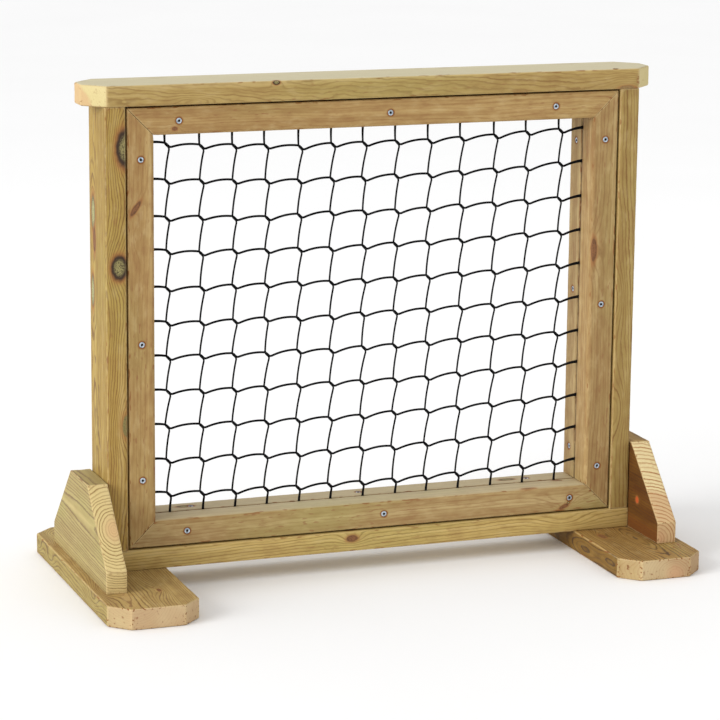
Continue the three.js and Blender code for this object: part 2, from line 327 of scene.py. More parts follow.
def wander(position, wavelengths, seed):
    """A seeded smooth wave between -1 and 1: the mean of sines of the given wavelengths."""
    phases = np.random.default_rng(seed).uniform(0, 2 * math.pi, len(wavelengths))
    waves = [np.sin(2 * math.pi * position / w + p) for w, p in zip(wavelengths, phases)]
    return np.mean(waves, axis=0)


print("skin helpers are ready")

# %% [markdown]
# ## Zinc screws
# The screws are countersunk and have a six-lobed drive. A screw is a turned shape, so one profile
# of radius against depth, spun round the axis, gives it all. Two parts of the profile also change
# with the angle: the drive's wall follows a six-lobed curve, and the thread's ridge climbs round
# the shank. A Screw modifier could wind the thread, but not join it to the head in one closed skin.

# %% Screw shape
HEAD_RADIUS = 4.5 * MM
HEAD_RIM = 0.5 * MM
CONE_END = 2.8 * MM
NECK_RADIUS, NECK_TOP = 1.75 * MM, 3.2 * MM
SHANK_RADIUS = 2.2 * MM
THREAD_ROOT = 1.55 * MM
THREAD_PITCH = 2.4 * MM
SMOOTH_SHARE = 0.35
DRIVE_RADIUS = 2.05 * MM
DRIVE_DEPTH = 2.3 * MM
LOBES, LOBE_SWELL = 6, 0.16
TIP_LENGTH, TIP_RADIUS = 7 * MM, 0.05 * MM
SCREW_SIDES, HOLE_SIDES = 36, 24
# The drive's wall from its floor to its mouth: parts of its radius, and depths.
DRIVE_WALL = [
    (0.25, DRIVE_DEPTH), (0.82, DRIVE_DEPTH - 0.2 * MM), (0.94, 0.25 * MM), (1.04, 0.06 * MM),
]
# The head from the drive's mouth, over the rim and down the cone: radii and depths, in mm.
HEAD_PROFILE = [(3.1, 0.0), (4.2, 0.0), (4.42, 0.06), (4.5, 0.18), (4.5, 0.5), (3.3, 1.7), (2.35, 2.6)]


def screw_rings(length):
    """Rings of one screw along +Z with its head face at zero.

    The drive's wall has radius DRIVE_RADIUS * (1 + LOBE_SWELL * cos 6a). The thread's radius goes
    from root to crest by a narrow cosine peak of depth / pitch + angle / turn, and shrinks at the tip.
    """
    angle = np.arange(SCREW_SIDES) * 2 * math.pi / SCREW_SIDES
    even = 0 * angle
    lobes = 1 + LOBE_SWELL * np.cos(LOBES * angle)
    rows = [(scale * DRIVE_RADIUS * lobes, depth + even) for scale, depth in DRIVE_WALL]
    rows += [(radius * MM + even, depth * MM + even) for radius, depth in HEAD_PROFILE]
    smooth_end = SMOOTH_SHARE * length
    rows += [(NECK_RADIUS + even, depth + even) for depth in (NECK_TOP, smooth_end)]
    for depth in np.arange(smooth_end + 0.4 * MM, length - 0.1 * MM, THREAD_PITCH / 4):
        ridge = np.cos(math.pi * (depth / THREAD_PITCH + angle / (2 * math.pi))) ** 6
        taper = min(1.0, (length - depth) / TIP_LENGTH)
        rows.append((taper * (THREAD_ROOT + (SHANK_RADIUS - THREAD_ROOT) * ridge), depth + even))
    rows.append((TIP_RADIUS + even, length + even))
    radius, depth = (np.array(part) for part in zip(*rows))
    return np.stack([radius * np.cos(angle), radius * np.sin(angle), depth], -1)


def hole_rings(length, room=0.3 * MM, above=2 * MM):
    """Rings of the hole that a screw needs: its head, cone and shank, grown by a little room."""
    angle = np.arange(HOLE_SIDES) * 2 * math.pi / HOLE_SIDES
    head, shank = HEAD_RADIUS + room, SHANK_RADIUS + room
    profile = [(head, -above), (head, HEAD_RIM + room), (shank, CONE_END + room), (shank, length + room)]
    radius, depth = (np.array(part)[:, None] + 0 * angle for part in zip(*profile))
    return np.stack([radius * np.cos(angle), radius * np.sin(angle), depth], -1)


print("a 72 mm screw has", screw_rings(0.072).shape[0], "rings")

# %% [markdown]
# Each screw sits where its CAD node is, with its head just under the timber's face. The node's box
# gives its place and length, and its name gives the way it was driven.

# %% Where each screw sits
SCREW_WAYS = {
    "frame_screw": (0, 1, 0),
    "batten_screw_top": (0, 0, 1),
    "batten_screw_bottom": (0, 0, -1),
    "batten_screw_left": (-1, 0, 0),
    "batten_screw_right": (1, 0, 0),
    "post_screw": (0, 0, 1),
    "gusset_screw": (0, 0, 1),
    "brace_screw_left": (-1, 0, 0),
    "brace_screw_right": (1, 0, 0),
}


def screw_seat(node):
    """The middle of a screw's head face, its direction and its length, from its CAD box."""
    way = next(Vector(w) for start, w in SCREW_WAYS.items() if node.startswith(start))
    low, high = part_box(node)
    middle, half = (low + high) / 2, abs((high - low).dot(way)) / 2
    return middle - way * half, way, 2 * half


def seated(rings, head, way):
    """Turns rings made along +Z so that they run along the screw's way from its head."""
    side = Vector((way.z, way.x, way.y))
    basis = np.array([side, way.cross(side), way])
    return rings @ basis + np.array(head)


SCREWS = {node: screw_seat(node) for node in sorted(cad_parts) if "screw" in node}
print(len(SCREWS), "screws found in the frame")

# %% [markdown]
# Bright zinc is a metal with a cool tint. It is never even: the plating dulls in small clouds and
# the driver scuffs it. Noise moves the roughness and dims the colour a little. The drive is a deep
# hole, and its walls get a near-black finish of their own that paints the shade inside it.

# %% Zinc, painted drive shade and the screws themselves
ZINC_CLOUDS_PER_METRE = 330.0
ZINC_SCUFFS_PER_METRE = 2500.0
DRIVE_SHADE_PER_METRE = 900.0
DRIVE_ROWS = 3

zinc = Finish("bright_zinc")
zinc_cloud = zinc.cloud(ZINC_CLOUDS_PER_METRE, 3.0)
zinc_scuff = zinc.rise(zinc.cloud(ZINC_SCUFFS_PER_METRE), 0.5, 0.7)
zinc_dull = zinc.rise(zinc_cloud, 0.35, 0.65)
zinc_bump = zinc.value(
    "ShaderNodeBump", {}, {"Strength": 0.2, "Distance": 0.0001, "Height": zinc_cloud + zinc_scuff}
)
zinc.surface(
    "ShaderNodeBsdfPrincipled",
    {
        "Base Color": zinc.mix(zinc_dull, paint(0.66, 0.74, 0.82), paint(0.30, 0.35, 0.40)),
        "Metallic": 1.0,
        "Roughness": 0.26 + 0.18 * zinc_cloud + 0.12 * zinc_scuff,
        "Normal": zinc_bump,
    },
)

# A near-black finish for the drive's walls: painted shade inside the recess.
drive_shade = Finish("grime_in_the_drive")
drive_shade_cloud = drive_shade.cloud(DRIVE_SHADE_PER_METRE)
drive_shade.surface(
    "ShaderNodeBsdfPrincipled",
    {
        "Base Color": drive_shade.mix(drive_shade_cloud, paint(0.012, 0.011, 0.010), paint(0.06, 0.055, 0.05)),
        "Roughness": 0.6 + 0.3 * drive_shade_cloud,
        "Specular IOR Level": 0.2,
    },
)

for node, (head, way, length) in SCREWS.items():
    screw_mesh = mesh_from("zinc_" + node, *skin(seated(screw_rings(length), head, way)))
    screw_mesh.materials.append(zinc.material)
    screw_mesh.materials.append(drive_shade.material)
    # The drive is the first rows of quads, and the fan that closes its floor is the last but one. They
    # take the second finish, a near-black painted shade.
    slots = np.zeros(len(screw_mesh.polygons), int)
    slots[: DRIVE_ROWS * SCREW_SIDES] = 1
    slots[-2 * SCREW_SIDES:-SCREW_SIDES] = 1
    screw_mesh.polygons.foreach_set("material_index", slots)
    add_piece(screw_mesh, [node], 40.0)
print("screws made:", len(SCREWS))

# %% [markdown]
# ## Boards
# Every timber piece is a convex outline with a thickness, and a planer rounds its long edges. A
# Bevel modifier could round a simple block, but each edge of a mitred board needs its own radius:
# large on the inner front edge, almost none at the mitre. So the board is a stack of rings. A ring
# at depth d under a face is the outline moved in by r - sqrt(r^2 - (r - d)^2) at an edge of radius
# r, and the corners are where the moved edges cross. The edges are then worn a little by a wave.

# %% An outline moved inwards
STEP = 6 * MM
LEAST_RADIUS = 0.002 * MM


def arris_inset(radius, depth):
    """How far a rounded edge lies inside its sharp one, at a depth under the face."""
    under = np.maximum(radius - depth, 0.0)
    return radius - np.sqrt(np.maximum(radius**2 - under**2, 0.0))


def moved_outline(outline, inset, corner_round, corner_steps):
    """The outline with edge i moved in by inset[level, i], as points[level, point, 2].

    A corner of radius q is an arc about the point that lies inset + q inside both its edges, where
    q is what remains of the corner's radius after the inset. Straight stretches are split evenly.
    """
    edge = np.roll(outline, -1, 0) - outline
    length = np.linalg.norm(edge, axis=1)
    inward = np.stack([-edge[:, 1], edge[:, 0]], -1) / length[:, None]
    before, before_inset = np.roll(inward, 1, 0), np.roll(inset, 1, 1)
    left_over = np.maximum(corner_round - np.maximum(inset, before_inset), LEAST_RADIUS)
    sides = np.stack([before, inward], 1)
    reach = np.einsum("kij,kj->ki", sides, outline)
    aim = reach + np.stack([before_inset, inset], -1) + left_over[..., None]
    centre = np.einsum("kij,lkj->lki", np.linalg.inv(sides), aim)
    turn = np.arctan2(np.cross(before, inward), (before * inward).sum(-1))
    start = np.arctan2(-before[:, 1], -before[:, 0])
    arcs = []
    for corner in range(len(outline)):
        angle = start[corner] + turn[corner] * np.linspace(0, 1, corner_steps + 1)
        spoke = np.stack([np.cos(angle), np.sin(angle)], -1)
        arcs.append(centre[:, corner, None] + left_over[:, corner, None, None] * spoke)
    points = []
    for corner, arc in enumerate(arcs):
        after = arcs[(corner + 1) % len(arcs)]
        cuts = max(2, round(length[corner] / STEP))
        part = np.linspace(0, 1, cuts + 1)[1:-1, None]
        points += [arc, arc[:, -1:] * (1 - part) + after[:, :1] * part]
    return np.concatenate(points, 1)


print("a 33 x 95 mm post section is split into", round(0.095 / STEP), "parts on its wide face")

# %% [markdown]
# The rings of a board lie close together where its edges are rounded and at even steps between. Two
# more rings lie on each flat face, so that the fan in the middle never meets the rounding, which
# would spoil the shading there.

# %% The rings of a board
# For each axis: the two axes across it, in turning order, and then the axis itself.
AXES = {"x": (1, 2, 0), "y": (2, 0, 1), "z": (0, 1, 2)}
ROUND_STEPS = 4
FACE_RINGS = np.array([8.0, 1.0]) * MM


def board_rings(outline, low_round, high_round, corner_round, bottom, top, corner_steps):
    """Rings of a board from inside its bottom face, up its sides, to inside its top face.

    The side rings lie where either rounded edge needs them and at even steps between. FACE_RINGS
    says how far inside the outline two more rings lie on each face, before the fan closes it.
    """
    low_round, high_round = np.array(low_round), np.array(high_round)
    quarter = 1 - np.cos(np.linspace(0, math.pi / 2, ROUND_STEPS + 1))
    low_depths = np.unique(np.round(np.outer(np.unique(low_round), quarter).ravel(), 7))
    high_depths = np.unique(np.round(np.outer(np.unique(high_round), quarter).ravel(), 7))
    thickness = top - bottom
    span = thickness - high_depths[-1] - low_depths[-1]
    between = np.linspace(0, 1, max(2, round(span / STEP)) + 1)[1:-1] * span + low_depths[-1]
    sides = np.concatenate([low_depths, between, thickness - high_depths[::-1]])
    depth = np.concatenate([0 * FACE_RINGS, sides, 0 * FACE_RINGS + thickness])[:, None]
    extra = np.concatenate([FACE_RINGS, 0 * sides, FACE_RINGS[::-1]])[:, None]
    inset = arris_inset(low_round, depth) + arris_inset(high_round, thickness - depth)
    rings = moved_outline(outline, inset + extra, np.array(corner_round), corner_steps)
    height = np.broadcast_to((bottom + depth)[:, None], rings.shape[:2] + (1,))
    return np.concatenate([rings, height], -1)


print("a face closes over rings", (FACE_RINGS / MM).tolist(), "mm inside its outline")

# %% [markdown]
# A planed board doesn't stay crisp: its long edges get knocked, a little here and more there. Points
# near two faces at once are pulled inwards, so flat faces stay flat. Displacement in the material
# could do this too, but then the wear would be missing from the mesh.

# %% Wear along the edges
WEAR_DEPTH = 0.45 * MM
WEAR_REACH = 2.6 * MM
WEAR_WAVES = (0.31, 0.083, 0.037, 0.021)


def board_planes(outline, bottom, top):
    """A point on each plane of the board and the plane's inward direction."""
    edge = np.roll(outline, -1, 0) - outline
    inward = np.stack([-edge[:, 1], edge[:, 0]], -1) / np.linalg.norm(edge, axis=1)[:, None]
    sides = np.c_[outline, np.full(len(outline), bottom)]
    points = np.concatenate([sides, [[0, 0, bottom], [0, 0, top]]])
    inwards = np.concatenate([np.c_[inward, np.zeros(len(outline))], [[0, 0, 1], [0, 0, -1]]])
    return points, inwards


def plane_distances(points, planes):
    """How deep each point lies under each plane, as [point, plane]."""
    through, inwards = planes
    return points @ inwards.T - (through * inwards).sum(-1)


def worn(points, planes, seed):
    """Moves points near an edge inwards, by a seeded wave that runs along the board.

    The pull is exp(-(d1^2 + d2^2) / reach^2), with d1 and d2 the depths under the two nearest
    planes, so a flat face doesn't move.
    """
    depth = plane_distances(points, planes)
    weight = np.exp(-((depth / WEAR_REACH) ** 2))
    strongest = np.sort(weight, axis=1)[:, -2:].prod(axis=1)
    wave = 0.5 + 0.5 * wander(points.sum(1), WEAR_WAVES, seed)
    pull = WEAR_DEPTH * (wave**2) * strongest
    return points + pull[:, None] * (weight @ planes[1])


print("edges wear by up to", WEAR_DEPTH / MM, "mm")

# %% [markdown]
# Each screw needs a hole in every board that it passes through. A painted hole would show as soon
# as light falls into it, so the holes are cut. One exact Boolean takes all of a board's holes at
# once, and the spent meshes are removed, so that they don't take the names of the finished ones.

# %% Screw holes
def screw_enters(head, tip, low, high):
    """Whether a screw from head to tip runs more than a millimetre into a board's box."""
    ends = [sorted((head[i], tip[i])) for i in range(3)]
    return all(near < high[i] - MM and far > low[i] + MM for i, (near, far) in enumerate(ends))


def drilled(mesh, low, high):
    """Cuts the holes of the screws that enter a board's box, with one exact Boolean."""
    found = [skin(seated(hole_rings(size), head, way)) for head, way, size in SCREWS.values()
             if screw_enters(head, head + way * size, low, high)]
    if not found:
        return mesh
    shift = np.cumsum([0] + [len(vertices) for vertices, _, _ in found])[:-1]
    vertices = np.concatenate([one[0] for one in found])
    quads = np.concatenate([one[1] + start for one, start in zip(found, shift)])
    fans = np.concatenate([one[2] + start for one, start in zip(found, shift)])
    cutter = bpy.data.objects.new("hole_cutter", mesh_from("hole_cutter", vertices, quads, fans))
    board = bpy.data.objects.new("board_to_drill", mesh)
    for made in (cutter, board):
        bpy.context.scene.collection.objects.link(made)
    cut = board.modifiers.new("holes", "BOOLEAN")
    cut.operation, cut.solver, cut.object = "DIFFERENCE", "EXACT", cutter
    cut_board = board.evaluated_get(bpy.context.evaluated_depsgraph_get())
    result = bpy.data.meshes.new_from_object(cut_board)
    for made in (cutter, board):
        spent = made.data
        bpy.data.objects.remove(made)
        bpy.data.meshes.remove(spent)
    return result


print("each hole is cut with", HOLE_SIDES, "sides")

# %% [markdown]
# One helper makes any board: outline, rings, wear and holes, and then it stores on each point how
# near it lies to an edge. The pine reads that to pale the worn edges and paint their highlight.
# Pointiness would find edges without it, but it depends on how finely a mesh is cut.

# %% One whole timber board
EDGE_REACH = 8 * MM
CORNER_ARC = 0.5 * MM


def timber_board(name, axis, outline, low_round, high_round, corner_round, finish, seed):
    """Makes one board from its outline across an axis and stands it for its CAD node."""
    low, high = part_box(name)
    across, up, through = AXES[axis]
    outline = np.array(outline)
    planes = board_planes(outline, low[through], high[through])
    steps = 3 if max(corner_round) > CORNER_ARC else 1
    rings = board_rings(
        outline, low_round, high_round, corner_round, low[through], high[through], steps
    )
    rings = worn(rings.reshape(-1, 3), planes, seed).reshape(rings.shape)
    vertices, quads, fans = skin(rings)
    placed = np.empty_like(vertices)
    placed[:, [across, up, through]] = vertices
    mesh = drilled(mesh_from("board_" + name, placed, quads, fans), low, high)
    mesh.name = "board_" + name
    corners = np.empty(len(mesh.vertices) * 3)
    mesh.vertices.foreach_get("co", corners)
    local = corners.reshape(-1, 3)[:, [across, up, through]]
    nearest = np.sort(plane_distances(local, planes), axis=1)[:, 1]
    edge = mesh.attributes.new("edge", "FLOAT", "POINT")
    edge.data.foreach_set("value", np.clip(nearest, 0, EDGE_REACH))
    mesh.materials.clear()
    mesh.materials.append(finish)
    add_piece(mesh, [name])


print("edges are told apart within", EDGE_REACH / MM, "mm")

# %% [markdown]
# ## Pine, ring by ring
# A tree grows a cone a year, so a board's face shows where it cuts nested cylinders round the pith.
# The finish does the same sum: it takes the distance from a pith line outside or inside the board,
# bends it with slow noise, and divides by the ring spacing. The fraction of each ring turns from
# pale early wood to a thin dark late line. One pattern then gives long lines on a face, arches where
# the cut runs flat, and curved rings on a sawn end, with no seams between faces.
# An image of wood would be quicker, but it can't turn the corner from a face to an end.

# %% Colours shared by every board
KNOT_HEART = paint(0.32, 0.275, 0.105)
KNOT_DARK = paint(0.040, 0.020, 0.010)
RED_KNOT = paint(0.24, 0.10, 0.035)
KNOT_HALO = paint(0.36, 0.135, 0.035)
STAIN_AND_SHADE = paint(0.23, 0.08, 0.014)
SPECK = paint(0.25, 0.09, 0.035)
MOSS = paint(0.36, 0.37, 0.10)
PALE_EDGE = paint(0.62, 0.47, 0.23)
PITH_PINK = paint(0.62, 0.30, 0.16)
CUT_END = paint(0.56, 0.42, 0.20)
CUT_LINE = paint(0.27, 0.15, 0.032)
PINK_END = paint(0.56, 0.39, 0.215)
PINK_LINE = paint(0.38, 0.15, 0.045)
HEARTWOOD = paint(0.42, 0.19, 0.075)
HEART_END = paint(0.60, 0.39, 0.20)
BRIGHT_END = paint(0.78, 0.66, 0.38)
SUN_BLEACH_AND_SHEEN = paint(0.60, 0.56, 0.38)
print("shared pine colours are ready")

# %% [markdown]
# The finish of one board is grown in parts that share one object. `Pine` holds where a point lies,
# told across and along the grain, and the noises that more than one part reads. Fibres are long and
# thin, so each noise has one scale across the grain and a smaller one along it.

# %% Where a point lies in its board
class Pine(Finish):
    """The finish of one board, with the place of a point told across and along its grain."""

    def __init__(self, name, grain, pith, seed):
        super().__init__("pine_" + name)
        coordinates = self.node("ShaderNodeTexCoord")
        self.low, self.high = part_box(name)
        self.order = AXES[grain]
        self.pith = tuple(v * MM for v in pith)
        self.seed = seed
        self.place = Value(self, coordinates.outputs["Object"])
        self.parts = self.split(self.place)
        self.facing = self.split(Value(self, coordinates.outputs["Normal"]))
        self.across, self.deep, self.along = (self.parts[i] for i in self.order)
        self.bend_across, self.bend_deep, self.patch = self.split(self.streaks(9.0, 3.2, 2.0, "Color"))
        self.rough = self.streaks(190.0, 120.0, 3.0, shift=11.0)
        self.fibre = self.streaks(420.0, 14.0, 3.0, shift=3.0)
        self.pits = self.streaks(260.0, 60.0, 1.0, shift=5.0)

    def streaks(self, cross_scale, along_scale, detail=2.0, output="Fac", shift=0.0):
        """Noise whose blobs are 1 / cross_scale metres wide and 1 / along_scale metres long."""
        across = self.across * cross_scale + self.seed * 7.3 + shift
        scaled = self.join(across, self.deep * cross_scale, self.along * along_scale)
        return self.noise(scaled, detail, output=output)


print("pine noises are ready")

# %% [markdown]
# A knot is a branch: a line from the pith outwards. Its rings are distances from that line, and the
# years bulge outwards round it, which draws the ovals that surround a knot. A painted disc would
# sit on the grain like a sticker, but here the grain itself moves aside.

# %% Knots
KNOT_RING_GAP = 1.7 * MM


class Knot:
    """A branch through a board.

    Place is where it comes out and radius its size, in mm. Bark is how dark its ring is, or None
    for grain that only swirls. Lift is how many rings it pushes aside, stretch how it counts
    lengths along the grain, heart the colour of its core, slant how far it leans across the grain,
    and way its direction if it isn't straight out from the pith.
    """

    def __init__(self, place, radius, bark=0.8, lift=2.0, stretch=0.6, heart=None, slant=0.0, way=None):
        self.place = Vector(place) * MM
        self.radius = radius * MM
        self.bark = bark
        self.lift = lift
        self.stretch = stretch
        self.heart = heart or (KNOT_HEART if (bark or 0) > 0.5 else RED_KNOT)
        self.slant = slant
        self.way = way


def branch_distance(wood, knot):
    """The distance of each point from a knot's line, with lengths along the grain shortened."""
    across, deep, along = wood.order
    outwards = Vector((0, 0, 0))
    outwards[across] = knot.place[across] - wood.pith[0]
    outwards[deep] = knot.place[deep] - wood.pith[1]
    way = Vector(knot.way or outwards.normalized())
    offset = wood.split(wood.vector("SUBTRACT", wood.place, tuple(knot.place)))
    offset[across] = offset[across] - offset[along] * knot.slant
    offset[along] = offset[along] * knot.stretch
    return wood.vector("LENGTH", wood.vector("CROSS_PRODUCT", wood.join(*offset), tuple(way)))


def add_knot(wood, colour, distance, knot, flecks):
    """Paints a knot: a speckled core with fine rings, a dark bark ring, and an orange halo."""
    near = distance * (0.86 + 0.28 * wood.rough)
    inner = wood.math("FRACT", near / KNOT_RING_GAP + wood.rough * 2.4)
    shade = wood.rise(inner, 0.5, 0.95) * 0.35 + wood.rise(flecks, 0.5, 0.62) * 0.75
    core = wood.mix(shade * (0.3 + 0.7 * knot.bark), knot.heart, KNOT_DARK)
    halo = wood.hump(wood.math("MAXIMUM", near - knot.radius, 0.0), 0.4 * knot.radius)
    colour = wood.mix(halo * (0.45 + 0.4 * knot.bark), colour, KNOT_HALO)
    colour = wood.mix(1 - wood.rise(near, 0.84 * knot.radius, knot.radius), colour, core)
    ring = wood.hump(near - 0.86 * knot.radius, 0.27 * knot.radius)
    return wood.mix(ring * knot.bark, colour, KNOT_DARK)


print("knot helpers are ready")

# %% [markdown]
# Each board has its own look, a set of named numbers. The table gives what holds for most boards,
# and a board's call changes only what differs on it.

# %% What a pine board looks like unless its call says otherwise
PINE_LOOK = {
    "spacing": 3.4,  # mm from one year ring to the next
    "lean": (0.012, -0.02),  # how far the pith runs aside for each metre of board
    "drift": 11.0,  # mm that the rings wander over a hand's width
    "ripple": 4.0,  # mm that they wander over a finger's width
    "line": 0.7,  # strength of the dark late lines
    "band": 0.5,  # strength of the broad bands along the grain
    "fine": 0.2,  # strength of fibres and mottle
    "speckle": 0.3,  # strength of the brown specks
    "moss": 0.25,  # strength of the greenish patches
    "heart": 0.0,  # radius of the pink heartwood in mm, or 0 for none
    "cut": (CUT_END, CUT_LINE),  # colours of a sawn end and of its rings
    "end_line": 0.35,  # strength of the rings on a sawn end
    "bleach": 0.0,  # how far faces that look up are bleached, with a painted glancing sheen
    "dull": None,  # axis, sign and tint of painted shade on the side that faces that way
    "edge_glow": 0.4,  # how pale the worn edges are, which also paints their highlight
    "seam": None,  # depth in mm of a joint that is drawn darker
}
print("settings of a pine board:", len(PINE_LOOK))

# %% [markdown]
# The year of a point is its distance from the pith divided by the ring spacing. Slow noise bends
# the pith's line and a growth noise makes some years wide and some narrow. Within a year the late
# line rises slowly and ends quickly, as in real softwood, and each year has its own strength.

# %% Year rings and late lines
GROWTH_NOISE = 2.2
ROUGH_YEARS = 0.35
SWIRL_REACH = 1.9
HEART_BORDER = 3.0


def pith_distance(wood, look):
    """|(across, deep) - pith - lean * along + drift noise|, the distance from the wandering pith."""
    waver = wood.streaks(45.0, 19.0, 2.0, shift=31.0)
    across = wood.across - wood.pith[0] - look.lean[0] * wood.along
    across = across + (wood.bend_across - 0.5) * (look.drift * MM) + (waver - 0.5) * (look.ripple * MM)
    deep = wood.deep - wood.pith[1] - look.lean[1] * wood.along
    deep = deep + (wood.bend_deep - 0.5) * (look.drift * MM)
    return wood.math("SQRT", across * across + deep * deep)


def years(wood, look, radius, knots, distances):
    """radius / spacing + growth noise - lift * exp(-(d / r / SWIRL_REACH)^2) for each knot."""
    growth = wood.noise(wood.join(radius * (200.0 / look.spacing), wood.seed * 3.1, 0.0), 1.0)
    year = radius / (look.spacing * MM) + growth * GROWTH_NOISE + wood.rough * ROUGH_YEARS
    for knot, distance in zip(knots, distances):
        year = year - wood.hump(distance, SWIRL_REACH * knot.radius) * knot.lift
    return year


def late_lines(wood, year):
    """The dark line that ends each year: a slow rise, a quick fall, and a strength drawn by year."""
    part = wood.math("FRACT", year)
    number = wood.math("FLOOR", year)
    chance = wood.value("ShaderNodeTexWhiteNoise", {"noise_dimensions": "1D"}, {"W": number})
    bold = 0.45 + 0.6 * chance + (wood.patch - 0.5) * 0.8
    return wood.rise(part, 0.48, 0.86) * (1 - wood.rise(part, 0.9, 1.0)) * bold


def heart_share(wood, look, radius):
    """1 inside the pink heartwood and 0 in the sapwood, with a ragged border between."""
    ragged = radius + (wood.rough - 0.5) * (2 * HEART_BORDER * MM)
    return 1 - wood.rise(ragged, (look.heart - HEART_BORDER) * MM, (look.heart + HEART_BORDER) * MM)


print("ring helpers are ready")

# %% [markdown]
# A planed face and a sawn end show the same rings in other colours: an end is paler and has open
# pores. One colour ramp would be too plain for either, so the finish mixes one thin layer over the
# next, from the broad bands down to single specks.

# %% Planed face and sawn end
def planed_face(wood, look, radius, late_line, early, late):
    """Bands, late lines, fibres, mottle, mossy patches, heartwood, pith and specks, in that order."""
    bands = wood.streaks(80.0, 1.6, 2.0, shift=17.0)
    mottle = wood.streaks(95.0, 38.0, 3.0, shift=23.0)
    dark_mottle = wood.rise(mottle, 0.48, 0.72) * look.fine * 1.2
    specks = wood.rise(wood.pits, 0.64, 0.72) * wood.rise(wood.patch, 0.4, 0.6) * look.speckle
    colour = wood.mix(wood.rise(bands, 0.32, 0.68) * look.band, early, wood.mix(0.5, early, late))
    colour = wood.mix(wood.rise(bands, 0.45, 0.25) * look.band * 0.5, colour, PALE_EDGE)
    colour = wood.mix(late_line * look.line, colour, late)
    colour = wood.mix(wood.rise(wood.fibre, 0.4, 0.75) * look.fine, colour, late)
    colour = wood.mix(dark_mottle, colour, wood.mix(0.5, late, SPECK))
    colour = wood.mix(wood.rise(mottle, 0.5, 0.25) * look.fine, colour, PALE_EDGE)
    colour = wood.mix(wood.rise(wood.patch, 0.5, 0.7) * look.moss, colour, wood.mix(0.6, colour, MOSS))
    if look.heart:
        colour = wood.mix(heart_share(wood, look, radius) * 0.15, colour, HEARTWOOD)
    colour = wood.mix((1 - wood.rise(radius, 6 * MM, 22 * MM)) * 0.45, colour, PITH_PINK)
    return wood.mix(specks, colour, SPECK)


def sawn_end(wood, look, radius, late_line, pores):
    """Curved rings and open pores, then pale and stained patches, heartwood and pith."""
    cut_end, cut_line = look.cut
    ring = late_line * look.end_line * (0.35 + 0.65 * wood.rise(radius, 3 * MM, 20 * MM))
    stained = wood.rise(wood.streaks(150.0, 150.0, 2.0, shift=41.0), 0.62, 0.74) * look.speckle
    colour = wood.mix(ring + wood.rise(pores, 0.5, 0.75) * 0.22, cut_end, cut_line)
    colour = wood.mix(wood.rise(wood.patch, 0.5, 0.3) * 0.4, colour, BRIGHT_END)
    colour = wood.mix(stained, colour, SPECK)
    if look.heart:
        heart = wood.mix(ring, HEART_END, cut_line)
        colour = wood.mix(heart_share(wood, look, radius) * 0.8, colour, heart)
    return wood.mix((1 - wood.rise(radius, 2 * MM, 24 * MM)) * 0.4, colour, PITH_PINK)


print("face and end layers are ready")

# %% [markdown]
# Weather, use and painted light come last. Sun bleaches what looks up, and the same pale layer paints
# a glancing sheen there. Painted shade darkens one side of some boards. A ring round each screw head is
# partly iron stain and partly painted shade at the rim of its countersink. Edges wear pale, which also
# paints the highlight on the arrises, and chip, and the joint between the two frames is darker.

# %% Weather, use and painted light
SCREW_RING_RADIUS, SCREW_RING_WIDTH = 5.0 * MM, 1.9 * MM
WORN_BARE, WORN_REACH = 0.4 * MM, 2.6 * MM
CHIPPED, CHIP_REACH = 1.5 * MM, 4 * MM
SEAM_WIDTH = 2.6 * MM


def weathered_and_painted_light(wood, look, colour, late_line, late):
    """Bleaches the faces that look up and paints a glancing sheen on them, then multiplies a tint of
    painted shade over the side that faces the given way.
    """
    # Sun bleaching of faces that look up, which also paints a glancing sheen on them.
    if look.bleach:
        top = wood.rise(wood.facing[2], 0.55, 0.95) * look.bleach
        bleach_and_sheen_colour = wood.mix(late_line * 0.25 + wood.fibre * 0.2, SUN_BLEACH_AND_SHEEN, late)
        colour = wood.mix(top, colour, bleach_and_sheen_colour)
    # Painted shade: a tint multiplied over the side that faces the given way.
    if look.dull:
        axis, sign, shade_tint = look.dull
        side = wood.rise(wood.facing[axis] * sign, 0.5, 0.9)
        colour = wood.mix(side, colour, paint(*shade_tint), "MULTIPLY")
    return colour


def screw_stain_and_shade(wood):
    """A ring round each screw head that sits in this board's box, all added up: partly iron stain and
    partly painted shade at the rim of its countersink.
    """
    rings = []
    for head, way, _ in SCREWS.values():
        if all(wood.low[i] - 2 * MM < head[i] < wood.high[i] + 2 * MM for i in range(3)):
            offset = wood.vector("SUBTRACT", wood.place, tuple(head))
            near = wood.vector("LENGTH", wood.vector("CROSS_PRODUCT", offset, tuple(way)))
            rings.append(wood.hump(near - SCREW_RING_RADIUS, SCREW_RING_WIDTH))
    return sum(rings)


